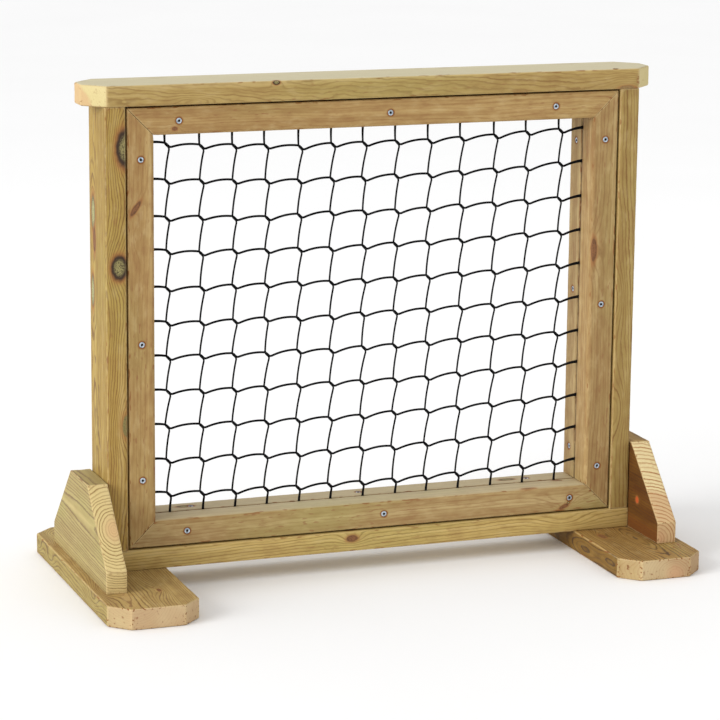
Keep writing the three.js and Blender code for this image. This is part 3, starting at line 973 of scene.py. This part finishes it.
def use_marks_and_painted_light(wood, look, colour):
    """Rings round the screw heads, partly stain and partly painted shade; pale worn edges that also
    paint a highlight; chips along them; and a darker joint.
    """
    # A dark ring round each screw head: partly iron stain, partly painted shade at the countersink's
    # rim.
    colour = wood.mix(screw_stain_and_shade(wood) * (0.2 + 1.8 * wood.rough), colour, STAIN_AND_SHADE)
    edge = wood.value("ShaderNodeAttribute", {"attribute_name": "edge"}, output="Fac")
    # Pale worn edges: partly real wear, partly a painted highlight along the arrises.
    wear_and_highlight = 1 - wood.rise(edge + (wood.rough - 0.5) * (2 * MM), WORN_BARE, WORN_REACH)
    colour = wood.mix(wear_and_highlight * look.edge_glow, colour, PALE_EDGE)
    chips = (1 - wood.rise(edge, CHIPPED, CHIP_REACH)) * wood.rise(wood.pits, 0.59, 0.68)
    colour = wood.mix(chips * (0.35 + look.speckle), colour, STAIN_AND_SHADE)
    if look.seam is not None:
        # A darker line along the joint between the front frame and the rear battens.
        front_to_back = wood.parts[1]
        darker_joint = wood.hump(front_to_back - look.seam * MM, SEAM_WIDTH) * 0.85
        colour = wood.mix(darker_joint * wood.rise(wood.rough, 0.2, 0.45), colour, KNOT_DARK)
    return colour


print("weather and use are ready")

# %% [markdown]
# One function puts the layers together. The end layer shows where the surface looks along the
# grain, the knots go over both, and the marks of use over everything. The same fibres and lines
# feed a faint bump and the roughness, so that what looks like grain also catches light like grain.

# %% The pine finish
KNOT_FLECKS_PER_METRE = 560.0


def pine(name, grain, pith, early, late, knots=(), seed=0, **changes):
    """Planed pine for one board.

    It takes the axis of the grain, where the pith passes in mm, the colours of early and late wood,
    the knots, a seed for the noises, and any change to the settings in PINE_LOOK.
    """
    look = SimpleNamespace(**{**PINE_LOOK, **changes})
    wood = Pine(name, grain, pith, seed)
    distances = [branch_distance(wood, knot) for knot in knots]
    radius = pith_distance(wood, look)
    late_line = late_lines(wood, years(wood, look, radius, knots, distances))
    end = wood.rise(wood.math("ABSOLUTE", wood.facing[wood.order[2]]), 0.3, 0.72)
    pores = wood.streaks(900.0, 900.0, 2.0, shift=2.0)
    face = planed_face(wood, look, radius, late_line, early, late)
    colour = wood.mix(end * 0.92, face, sawn_end(wood, look, radius, late_line, pores))
    colour = weathered_and_painted_light(wood, look, colour, late_line, late)
    flecks = wood.cloud(KNOT_FLECKS_PER_METRE)
    for knot, distance in zip(knots, distances):
        if knot.bark is not None:
            colour = add_knot(wood, colour, distance, knot, flecks)
    height = wood.fibre * 0.5 + late_line * 0.6 + end * pores * 1.2
    bump = wood.value("ShaderNodeBump", {}, {"Strength": 0.3, "Distance": 0.0004, "Height": height})
    return wood.surface(
        "ShaderNodeBsdfPrincipled",
        {
            "Base Color": use_marks_and_painted_light(wood, look, colour),
            "Roughness": 0.62 + 0.16 * wood.fibre - 0.1 * late_line + 0.1 * end,
            "Specular IOR Level": 0.35,
            "Normal": bump,
        },
    )


print("pine finish is ready")

# %% [markdown]
# The boards come from several planks, so their wood differs. Each stock has a colour for its early
# wood and one for its late lines, and boards that were cut from one plank share them.

# %% Colours of the stocks
POST_EARLY = paint(0.455, 0.295, 0.070)
POST_LATE = paint(0.17, 0.076, 0.013)
DARK_POST_EARLY = paint(0.395, 0.275, 0.083)
RAIL_EARLY = paint(0.59, 0.42, 0.138)
RAIL_LATE = paint(0.20, 0.11, 0.02)
CAP_EARLY = paint(0.46, 0.32, 0.105)
WARM_EARLY = paint(0.47, 0.305, 0.115)
WARM_LATE = paint(0.235, 0.108, 0.026)
SHADY_EARLY = paint(0.41, 0.268, 0.103)
SHADY_LATE = paint(0.195, 0.092, 0.024)
OLIVE_EARLY = paint(0.45, 0.318, 0.135)
FOOT_EARLY = paint(0.49, 0.335, 0.11)
FOOT_LATE = paint(0.15, 0.068, 0.018)
DARK_FOOT_EARLY = paint(0.41, 0.24, 0.062)
DARK_FOOT_LATE = paint(0.075, 0.032, 0.008)
GUSSET_EARLY = paint(0.44, 0.265, 0.075)
CREAM_EARLY = paint(0.42, 0.335, 0.128)
CREAM_LATE = paint(0.16, 0.09, 0.032)
OLIVE_HEART = paint(0.26, 0.21, 0.07)
GREEN_HEART = paint(0.40, 0.38, 0.17)
RESIN_RED = paint(0.55, 0.10, 0.02)
print("stock colours are ready")

# %% [markdown]
# ## Whole boards
# A post, a rail, a cap and a foot differ only in their box, in the axis that they are drawn across
# and in their corners. So one helper draws the outline from the CAD node's box, and another makes
# the board with one radius round its faces and one at its corners.

# %% Outline helpers
ARRIS = 2.5 * MM
SAWN = 0.5 * MM


def rectangle(name, axis, sawn_corner=0.0):
    """The outline of a node's box across an axis, anticlockwise, with its corners sawn off."""
    low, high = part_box(name)
    u, v, _ = AXES[axis]
    (left, right), (near, far), c = (low[u], high[u]), (low[v], high[v]), sawn_corner
    if not c:
        return [(left, near), (right, near), (right, far), (left, far)]
    return [(left + c, near), (right - c, near), (right, near + c), (right, far - c),
            (right - c, far), (left + c, far), (left, far - c), (left, near + c)]


def whole_board(name, axis, finish, seed, sawn_corner=0.0, face_round=ARRIS, corner=ARRIS, outline=None):
    """A board with one radius round its two faces and another at its outline's corners."""
    outline = outline or rectangle(name, axis, sawn_corner)
    rounds = [face_round] * len(outline)
    corners = [corner] * len(outline)
    timber_board(name, axis, outline, rounds, rounds, corners, finish, seed)


print("a foot's outline has", len(rectangle("foot_left", "z", 0.03)), "corners")

# %% [markdown]
# ## Posts
# The posts stand on edge with their narrow face to the front. Their outline is the section, so
# their long edges are the outline's rounded corners, and the rings run along the length. One post
# has big dark knots and the other is plain. Chance noise can't give that, so each knot is placed
# one by one.

# %% The two posts
# The left post's left face gets a light tint of painted shade.
left_post = pine(
    "post_left", "z", (-376, 6), POST_EARLY, POST_LATE, seed=1,
    spacing=2.9, lean=(0.01, 0.03), line=1.0, drift=16.0, ripple=8.0, dull=(0, -1, (0.90, 0.94, 0.94)),
    knots=(
        Knot((-413, -48, 700), 11.5, bark=1.0, lift=4.0, stretch=0.42),
        Knot((-424, -48, 516), 9.3, bark=1.0, lift=4.0, stretch=0.5),
        Knot((-445, 24, 592), 11.0, bark=0.5, lift=3.5, stretch=0.4, heart=GREEN_HEART, way=(1, 0, 0)),
        Knot((-445, 18, 550), 7.0, bark=0.4, lift=2.5, stretch=0.35, way=(1, 0, 0)),
        Knot((-445, 30, 468), 9.0, bark=0.5, lift=2.5, stretch=0.35, heart=GREEN_HEART, way=(1, 0, 0)),
        Knot((-411, -48, 267), 9.0, bark=0.1, lift=3.5, stretch=0.45, heart=OLIVE_HEART),
    ),
)
right_post = pine(
    "post_right", "z", (386, 10), DARK_POST_EARLY, POST_LATE, seed=2,
    spacing=3.6, lean=(-0.015, 0.025), line=0.9, drift=16.0, ripple=7.0,
    knots=(
        Knot((409, -48, 421), 9.0, bark=None, lift=3.0, stretch=0.4),
        Knot((420, -48, 235), 7.5, bark=None, lift=3.0, stretch=0.3),
    ),
)
whole_board("post_left", "z", left_post, seed=11, face_round=SAWN)
whole_board("post_right", "z", right_post, seed=12, face_round=SAWN)

# %% [markdown]
# ## Rail and cap
# The rail and the cap lie flat across the posts' feet and heads. The rail's outline is its section,
# like a post's. The cap is the other way about: its outline is its plan, because its four corners
# are sawn off. A Boolean could cut them too, but then their edges could not be rounded so simply.

# %% The rail and the cap
CAP_CORNER = 33 * MM
CAP_ROUND = 3.2 * MM

rail = pine(
    "bottom_rail", "x", (-10, 92), RAIL_EARLY, RAIL_LATE, seed=3,
    spacing=3.8, lean=(0.02, 0.012), line=0.65, drift=10.0, ripple=5.0,
    knots=(
        Knot((-41, -48, 54), 4.0, bark=0.3, lift=2.5, stretch=0.4),
        Knot((330, -48, 52), 6.0, bark=None, lift=2.5, stretch=0.25),
    ),
)
# The cap's top is bleached, with a painted glancing sheen.
cap = pine(
    "top_cap", "x", (36, 750), CAP_EARLY, POST_LATE, seed=4,
    spacing=2.3, lean=(0.02, -0.015), line=0.6, drift=14.0, ripple=6.0,
    cut=(paint(0.64, 0.54, 0.26), CUT_LINE), end_line=0.08, bleach=0.9, heart=57.0,
    knots=(
        Knot((422, -50, 765), 9.0, bark=None, lift=4.0, stretch=0.4),
        Knot((422, -50, 765), 4.0, bark=0.1, lift=0.5, stretch=0.3, heart=paint(0.30, 0.18, 0.065)),
        Knot((-172, -50, 793), 3.4, bark=1.0, lift=1.5),
        Knot((402, -46, 796), 2.0, bark=1.0, lift=1.0),
        Knot((-300, -50, 768), 4.0, bark=None, lift=2.5, stretch=0.25),
    ),
)
whole_board("bottom_rail", "x", rail, seed=13, face_round=SAWN)
whole_board("top_cap", "z", cap, seed=14, sawn_corner=CAP_CORNER, face_round=CAP_ROUND, corner=4 * MM)

# %% [markdown]
# ## Feet
# Each foot is a wide board flat on the ground with its four corners sawn off, like the cap. Its
# front end is end grain close to the ground. The side of each foot that looks left is darkened by
# painted shade.

# %% Feet
FOOT_CORNER = 30 * MM
FOOT_EDGE = 1.2 * MM

# The left foot's outer side, which looks left, gets painted shade.
left_foot = pine(
    "foot_left", "y", (52, -452), FOOT_EARLY, FOOT_LATE, seed=5,
    spacing=4.0, lean=(0.01, 0.02), line=0.9, drift=18.0, ripple=7.0,
    cut=(PINK_END, PINK_LINE), end_line=0.15, speckle=0.7, dull=(0, -1, (0.73, 0.80, 0.70)),
    knots=(
        Knot((-494, 205, 15), 7.0, bark=None, lift=3.0),
        Knot((-494, 130, 11), 6.0, bark=None, lift=3.0, stretch=0.3),
        Knot((-494, -136, 19), 7.5, bark=None, lift=3.5, stretch=0.35),
        Knot((-396, -160, 33), 9.0, bark=None, lift=3.0, stretch=0.4, way=(0, 0, 1)),
        Knot((-396, -160, 33), 3.2, bark=0.2, lift=1.0, stretch=0.45, way=(0, 0, 1)),
    ),
)
# The right foot's inner side, which looks left, gets strong painted shade.
right_foot = pine(
    "foot_right", "y", (8, 439), DARK_FOOT_EARLY, DARK_FOOT_LATE, seed=6,
    spacing=4.4, lean=(0.005, 0.02), line=1.0, drift=16.0, ripple=8.0,
    cut=(paint(0.48, 0.33, 0.175), PINK_LINE), end_line=0.5, speckle=0.9,
    dull=(0, -1, (0.56, 0.50, 0.27)),
    knots=(
        Knot((380, -90, 33), 5.0, bark=0.1, lift=2.5, stretch=0.4, way=(0, 0, 1)),
        Knot((425, -120, 33), 9.0, bark=None, lift=4.0, stretch=0.25, way=(0, 0, 1)),
        Knot((349, -90, 14), 8.0, bark=None, lift=3.0, stretch=0.3),
        Knot((349, -190, 20), 7.0, bark=None, lift=3.0, stretch=0.3),
    ),
)
whole_board("foot_left", "z", left_foot, seed=15, sawn_corner=FOOT_CORNER, corner=FOOT_EDGE)
whole_board("foot_right", "z", right_foot, seed=16, sawn_corner=FOOT_CORNER, corner=FOOT_EDGE)

# %% [markdown]
# ## Gussets
# A gusset stands on each foot against the outside of the post: a board with sloped ends, cut with
# its grain level, so the slopes show curved end grain. Its outline is its side view, and the
# slopes' colours come from the pine's sawn end, with strong lines.

# %% Gussets
GUSSET_HALF_TOP = 51 * MM
GUSSET_UPRIGHT = 34 * MM


def gusset_outline(name):
    """Anticlockwise in depth and height: an upright toe, a slope to the flat top, and back down."""
    low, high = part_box(name)
    toe = low.z + GUSSET_UPRIGHT
    return [(low.y, low.z), (high.y, low.z), (high.y, toe), (GUSSET_HALF_TOP, high.z),
            (-GUSSET_HALF_TOP, high.z), (low.y, toe)]


left_gusset = pine(
    "gusset_left", "y", (122, -451), CREAM_EARLY, CREAM_LATE, seed=7,
    spacing=4.2, lean=(0.02, 0.02), line=1.0, drift=8.0, ripple=4.5,
    cut=(paint(0.70, 0.55, 0.25), paint(0.24, 0.12, 0.025)), end_line=0.85,
    speckle=0.1, fine=0.1, moss=0.4,
)
# The right gusset's inner face, which looks left, gets dark painted shade.
right_gusset = pine(
    "gusset_right", "y", (44, 447), GUSSET_EARLY, FOOT_LATE, seed=8,
    spacing=5.2, lean=(0.02, 0.01), line=0.8, drift=7.0, ripple=3.0,
    cut=(paint(0.76, 0.63, 0.34), PINK_LINE), end_line=1.0,
    heart=70.0, band=0.8, dull=(0, -1, (0.31, 0.19, 0.048)),
    knots=(
        Knot((446, -80, 87), 6.0, bark=0.0, lift=1.0, stretch=1.0, heart=RESIN_RED, way=(1, 0, 0)),
    ),
)
for node, finish, seed in (("gusset_left", left_gusset, 17), ("gusset_right", right_gusset, 18)):
    shape = gusset_outline(node)
    whole_board(node, "x", finish, seed, face_round=1.2 * MM, corner=0.8 * MM, outline=shape)

# %% [markdown]
# ## The mitred frames
# Front and rear halves are each four sticks of the same square stock, mitred at the corners. On a
# stick the outer edge is the long one, and each mitre takes the stock's own width off the inner
# edge. The front half's inner edge is rounded over, so that a ball never meets a hard corner.

# %% Mitred sticks
INNER_ROUND = 6 * MM
MITRE_ARRIS = 0.35 * MM
MITRE_CORNER = 0.2 * MM


def mitred_stick(name, side, finish, seed, inner_round):
    """One stick of a mitred frame. Its outline lies in height and width, anticlockwise."""
    low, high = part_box(name)
    (z0, x0), (z1, x1) = (low.z, low.x), (high.z, high.x)
    w = min(z1 - z0, x1 - x0)
    outlines = {
        "left": [(z0, x0), (z1, x0), (z1 - w, x1), (z0 + w, x1)],
        "right": [(z0 + w, x0), (z1 - w, x0), (z1, x1), (z0, x1)],
        "bottom": [(z0, x0), (z1, x0 + w), (z1, x1 - w), (z0, x1)],
        "top": [(z0, x0 + w), (z1, x0), (z1, x1), (z0, x1 - w)],
    }
    inner = {"left": 2, "right": 0, "bottom": 1, "top": 3}[side]
    back = [ARRIS] * 4
    for mitre in ((inner + 1) % 4, (inner + 3) % 4):
        back[mitre] = MITRE_ARRIS
    front = list(back)
    front[inner] = inner_round
    corners = [MITRE_CORNER] * 4
    timber_board(name, "y", outlines[side], front, back, corners, finish, seed)


print("mitred sticks have an inner round of", INNER_ROUND / MM, "mm in front")

# %% [markdown]
# The eight sticks share one look and differ in their pith, their stock and a few small knots. The
# seam between the two halves is drawn darker.

# %% The eight sticks and their wood
STICK_LOOK = {
    "lean": (0.01, 0.015), "speckle": 0.5, "band": 0.8, "fine": 0.28, "seam": -1.2, "edge_glow": 0.3,
}


def stick(name, grain, pith, early, late, seed, **changes):
    """The pine of one stick, with what all sticks share."""
    return name, pine(name, grain, pith, early, late, seed=seed, **{**STICK_LOOK, **changes})


# The two bottom sticks are bleached on top, with a painted glancing sheen.
sticks = [
    stick("front_frame_left", "z", (-350, 44), WARM_EARLY, WARM_LATE, 21, line=0.4, knots=(
        Knot((-397, -46, 606), 4.2, bark=0.35, lift=1.5, stretch=0.35, slant=0.6),
        Knot((-398, -46, 560), 5.0, bark=None, lift=2.0, stretch=0.3),
    )),
    stick("front_frame_right", "z", (446, 24), SHADY_EARLY, SHADY_LATE, 22, line=0.5, knots=(
        Knot((371, -46, 503), 4.0, bark=0.3, lift=3.0, stretch=0.2),
    )),
    stick("front_frame_top", "x", (30, 690), WARM_EARLY, WARM_LATE, 23, line=0.45, knots=(
        Knot((-334, -46, 727), 3.0, bark=0.1, lift=2.0),
    )),
    stick("front_frame_bottom", "x", (24, 140), OLIVE_EARLY, WARM_LATE, 24, line=0.45,
          bleach=0.5, moss=0.45, knots=(
        Knot((267, -43, 113), 2.3, bark=0.5, lift=1.5, stretch=0.15, heart=WARM_EARLY),
        Knot((325, -46, 82), 9.0, bark=None, lift=3.0, stretch=0.45),
        Knot((330, -46, 76), 2.6, bark=0.3, lift=2.0, stretch=0.3, slant=-0.4),
        Knot((338, -46, 82), 1.4, bark=0.8, lift=1.0),
    )),
    stick("rear_batten_left", "z", (-340, 70), WARM_EARLY, WARM_LATE, 25),
    stick("rear_batten_right", "z", (440, 80), OLIVE_EARLY, SHADY_LATE, 26),
    stick("rear_batten_top", "x", (60, 700), WARM_EARLY, WARM_LATE, 27),
    stick("rear_batten_bottom", "x", (-30, 60), WARM_EARLY, WARM_LATE, 28, bleach=0.6, knots=(
        Knot((-300, 22, 112), 4.0, bark=0.7, lift=1.0, stretch=0.3),
        Knot((255, 22, 112), 4.0, bark=0.7, lift=1.0, stretch=0.3),
    )),
]
FIRST_WEAR_SEED = 30
for number, (node, finish) in enumerate(sticks):
    rounding = INNER_ROUND if node.startswith("front") else ARRIS
    side = node.rsplit("_", 1)[1]
    mitred_stick(node, side, finish, FIRST_WEAR_SEED + number, rounding)
print("sticks made:", len(sticks))

# %% [markdown]
# ## The net
# The net is knotted twine held at its border between the two halves of the frame. A grid of
# straight bars would look stiff. Real cords meet in a joint where the two of them lie side by side
# for a few millimetres on the slant, then part, so every cord steps down and to the right at each
# joint and arches a little between them. Cloth physics could settle a net, but it would not tie
# one, so first the places of the joints are worked out, with some slack and a pull to one side.

# %% Net joints
NET_COLUMNS, NET_ROWS = 13, 11
MIDDLE_COLUMN, MIDDLE_ROW = NET_COLUMNS // 2, NET_ROWS // 2
COLUMN_GAP, ROW_GAP = 55.1 * MM, 55.2 * MM
FIRST_COLUMN, FIRST_ROW = -332 * MM, 135 * MM
PULL_LEFT = 6.5 * MM
HAND_ERROR = 0.9
net_random = np.random.default_rng(7)

net_low, net_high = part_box("net")
NET_PLANE = (net_low.y + net_high.y) / 2
column, row = np.meshgrid(np.arange(NET_COLUMNS), np.arange(NET_ROWS))
# Every row hangs as a shallow bowl, deeper far from the middle row. The upper left corner is
# pulled up a little, and the columns are pulled to the left, most of all a little right of the middle.
spread = (column - MIDDLE_COLUMN) / MIDDLE_COLUMN
slack = (1.6 + 0.4 * np.abs(row - MIDDLE_ROW)) * MM
corner_lift = 0.4 * MM * np.maximum(row - MIDDLE_ROW, 0) * np.maximum(1 - column / 3, 0)
drawn_left = PULL_LEFT * np.sin(math.pi * (column / (NET_COLUMNS - 1)) ** 1.3)
joint_x = FIRST_COLUMN + column * COLUMN_GAP - drawn_left
joint_x += net_random.normal(0, HAND_ERROR, column.shape) * MM
joint_z = FIRST_ROW + row * ROW_GAP + slack * (2.2 * spread**2 - 0.9) + corner_lift
joint_z += net_random.normal(0, HAND_ERROR, row.shape) * MM
print("net joints:", joint_x.size, "mean spacing", round(float(np.diff(joint_x).mean()), 4))

# %% [markdown]
# A cord is a path on a grid of strand and step, so all the cords of one direction are one array.
# Straight runs and short slants follow one another, and a running mean rounds their corners.

# %% Paths of the cords
HALF_JOINT = Vector((3.6, -3.6)) * MM
BESIDE = Vector((0.55, 0.55)) * MM
CORD_ARCH = 2.8 * MM
CORD_BOW = 1.1 * MM
STEPS_PER_CELL = 20
JOINT_STEPS = 5


def cord_path(joints, start, end, arch):
    """Points[strand, step, 2] that run through the joints of each strand.

    Between the lower right end of a joint and the upper left end of the next one the cord is a
    straight line plus arch * 4t(1-t), and across a joint it is the short slanting line.
    """
    slant = np.array(HALF_JOINT)
    enter, leave = joints - slant, joints + slant
    begin = np.concatenate([start[:, None], leave], 1)
    finish = np.concatenate([enter, end[:, None]], 1)
    t = np.linspace(0, 1, STEPS_PER_CELL, endpoint=False)[:, None]
    bow = 4 * t * (1 - t) * arch
    runs = begin[:, :, None] * (1 - t) + finish[:, :, None] * t + bow
    s = np.linspace(0, 1, JOINT_STEPS, endpoint=False)[:, None]
    crossings = enter[:, :, None] * (1 - s) + leave[:, :, None] * s
    crossings = np.concatenate([crossings, np.full_like(crossings[:, :1], np.nan)], 1)
    path = np.concatenate([runs, crossings], 2).reshape(len(joints), -1, 2)
    return path[:, ~np.isnan(path[0, :, 0])]


def eased(path, width=3):
    """A running mean along each strand, which rounds the corners and keeps the ends."""
    padded = np.pad(path, ((0, 0), (width // 2, width // 2), (0, 0)), mode="edge")
    pieces = [padded[:, shift:shift + path.shape[1]] for shift in range(width)]
    smooth = np.mean(pieces, axis=0)
    smooth[:, [0, -1]] = path[:, [0, -1]]
    return smooth


level_start = np.stack([np.full(NET_ROWS, net_low.x + 1 * MM), joint_z[:, 0] + 3 * MM], -1)
level_end = np.stack([np.full(NET_ROWS, net_high.x - 1 * MM), joint_z[:, -1] + 5 * MM], -1)
joints = np.stack([joint_x, joint_z], -1)
arch, bow = np.array([0.0, CORD_ARCH]), np.array([-CORD_BOW, 0.0])
level_paths = eased(cord_path(joints + np.array(BESIDE), level_start, level_end, arch))
down_joints = (joints - np.array(BESIDE))[::-1].transpose(1, 0, 2)
down_start = np.stack([joint_x[-1] - 3 * MM, np.full(NET_COLUMNS, net_high.z - 1 * MM)], -1)
down_end = np.stack([joint_x[0] + 1 * MM, np.full(NET_COLUMNS, net_low.z + 1 * MM)], -1)
down_paths = eased(cord_path(down_joints, down_start, down_end, bow))
print("level cords", level_paths.shape, "upright cords", down_paths.shape)

# %% [markdown]
# A ring of points is swept along each path. A curve with a bevel would do nearly the same, but with
# one section all along, and here the clamp squeezes the cords wider at their ends.

# %% Skins round the cords
CORD_WIDTHS = {"level": 3.6 * MM, "upright": 3.0 * MM}
CORD_DEPTH = 2.5 * MM
CORD_SIDES = 10
CLAMP_SPREAD = 0.5
CLAMP_REACH = 26 * MM


def cord_skins(path, side, width):
    """Rings of an oval tube round each strand, with its length so far and the angles of a ring.

    The oval is wide in the net's plane, and its centre lies a little to one side of that plane.
    The clamp squeezes both ends: the width grows by CLAMP_SPREAD * exp(-(distance / CLAMP_REACH)^2).
    """
    travel = np.gradient(path, axis=1)
    travel /= np.linalg.norm(travel, axis=-1, keepdims=True)
    angle = np.arange(CORD_SIDES) * 2 * math.pi / CORD_SIDES
    beside = np.stack([-travel[..., 1], 0 * travel[..., 0], travel[..., 0]], -1)
    towards = np.array([0.0, 1.0, 0.0])
    length = np.cumsum(np.linalg.norm(np.diff(path, axis=1, prepend=path[:, :1]), axis=-1), axis=1)
    from_end = np.minimum(length, length[:, -1:] - length)
    wide = width * (1 + CLAMP_SPREAD * np.exp(-((from_end / CLAMP_REACH) ** 2)))
    turned = (np.cos(angle)[:, None] * towards * CORD_DEPTH / 2
              + np.sin(angle)[:, None] * (beside * wide[..., None] / 2)[:, :, None])
    centre = np.stack([path[..., 0], np.full(path.shape[:2], NET_PLANE + side), path[..., 1]], -1)
    return centre[:, :, None] + turned, length, angle


print("a cord is an oval of", CORD_DEPTH / MM, "by", CORD_WIDTHS["level"] / MM, "mm")

# %% [markdown]
# All the cords go into one mesh, because they are one net. Each point also stores where it lies
# round its cord and along it, so that the twist of the twine can follow the cord.

# %% Net mesh
LAYER = 0.1 * MM

parts, lays, start = [], [], 0
for path, side, kind in ((level_paths, -LAYER, "level"), (down_paths, LAYER, "upright")):
    rings, length, angle = cord_skins(path, side, CORD_WIDTHS[kind])
    for strand in range(len(rings)):
        vertices, quads, fans = skin(rings[strand])
        parts.append((vertices, quads + start, fans + start))
        start += len(vertices)
        around = np.broadcast_arrays(np.cos(angle)[None], np.sin(angle)[None], length[strand][:, None])
        ring_lay = np.stack(around, -1).reshape(-1, 3)
        lays.append(np.concatenate([ring_lay, ring_lay[[0, -1]]]))
net_mesh = mesh_from("twine_net", *(np.concatenate(group) for group in zip(*parts)))
lay = net_mesh.attributes.new("lay", "FLOAT_VECTOR", "POINT")
lay.data.foreach_set("vector", np.concatenate(lays).ravel())
print("net has", len(net_mesh.polygons), "faces")

# %% [markdown]
# Twine is three yarns twisted together. The lay attribute holds the cosine and sine of the angle
# round the cord and the distance along it, so a helix is a wave of angle plus distance, and it has
# no seam. Modelling the yarns would cost a million faces for a twist of a few millimetres. Black
# fibre is never quite black: fuzz on the ridges catches light.

# %% Twine finish
YARNS = 3.0
TWIST_LENGTH = 2.4 * MM
FUZZ_PER_METRE = 1800.0

twine = Finish("black_twine")
lay_parts = twine.split(twine.value("ShaderNodeAttribute", {"attribute_name": "lay"}, output="Vector"))
turn = twine.math("ARCTAN2", lay_parts[1], lay_parts[0])
twist = twine.math("SINE", turn * YARNS + lay_parts[2] * (2 * math.pi / TWIST_LENGTH))
fuzz = twine.cloud(FUZZ_PER_METRE, 3.0)
ridge = twist * 0.5 + 0.5
twine_bump = twine.value(
    "ShaderNodeBump", {}, {"Strength": 0.7, "Distance": 0.0003, "Height": ridge + fuzz * 0.5}
)
twine.surface(
    "ShaderNodeBsdfPrincipled",
    {
        "Base Color": twine.mix(ridge * fuzz, paint(0.002, 0.002, 0.0025), paint(0.012, 0.012, 0.014)),
        "Roughness": 0.8 + 0.15 * fuzz,
        "Specular IOR Level": 0.12,
        "Normal": twine_bump,
    },
)
net_mesh.materials.append(twine.material)
add_piece(net_mesh, ["net"], 80.0)
print("the twine has", int(YARNS), "yarns and a ridge every", TWIST_LENGTH / MM, "mm")
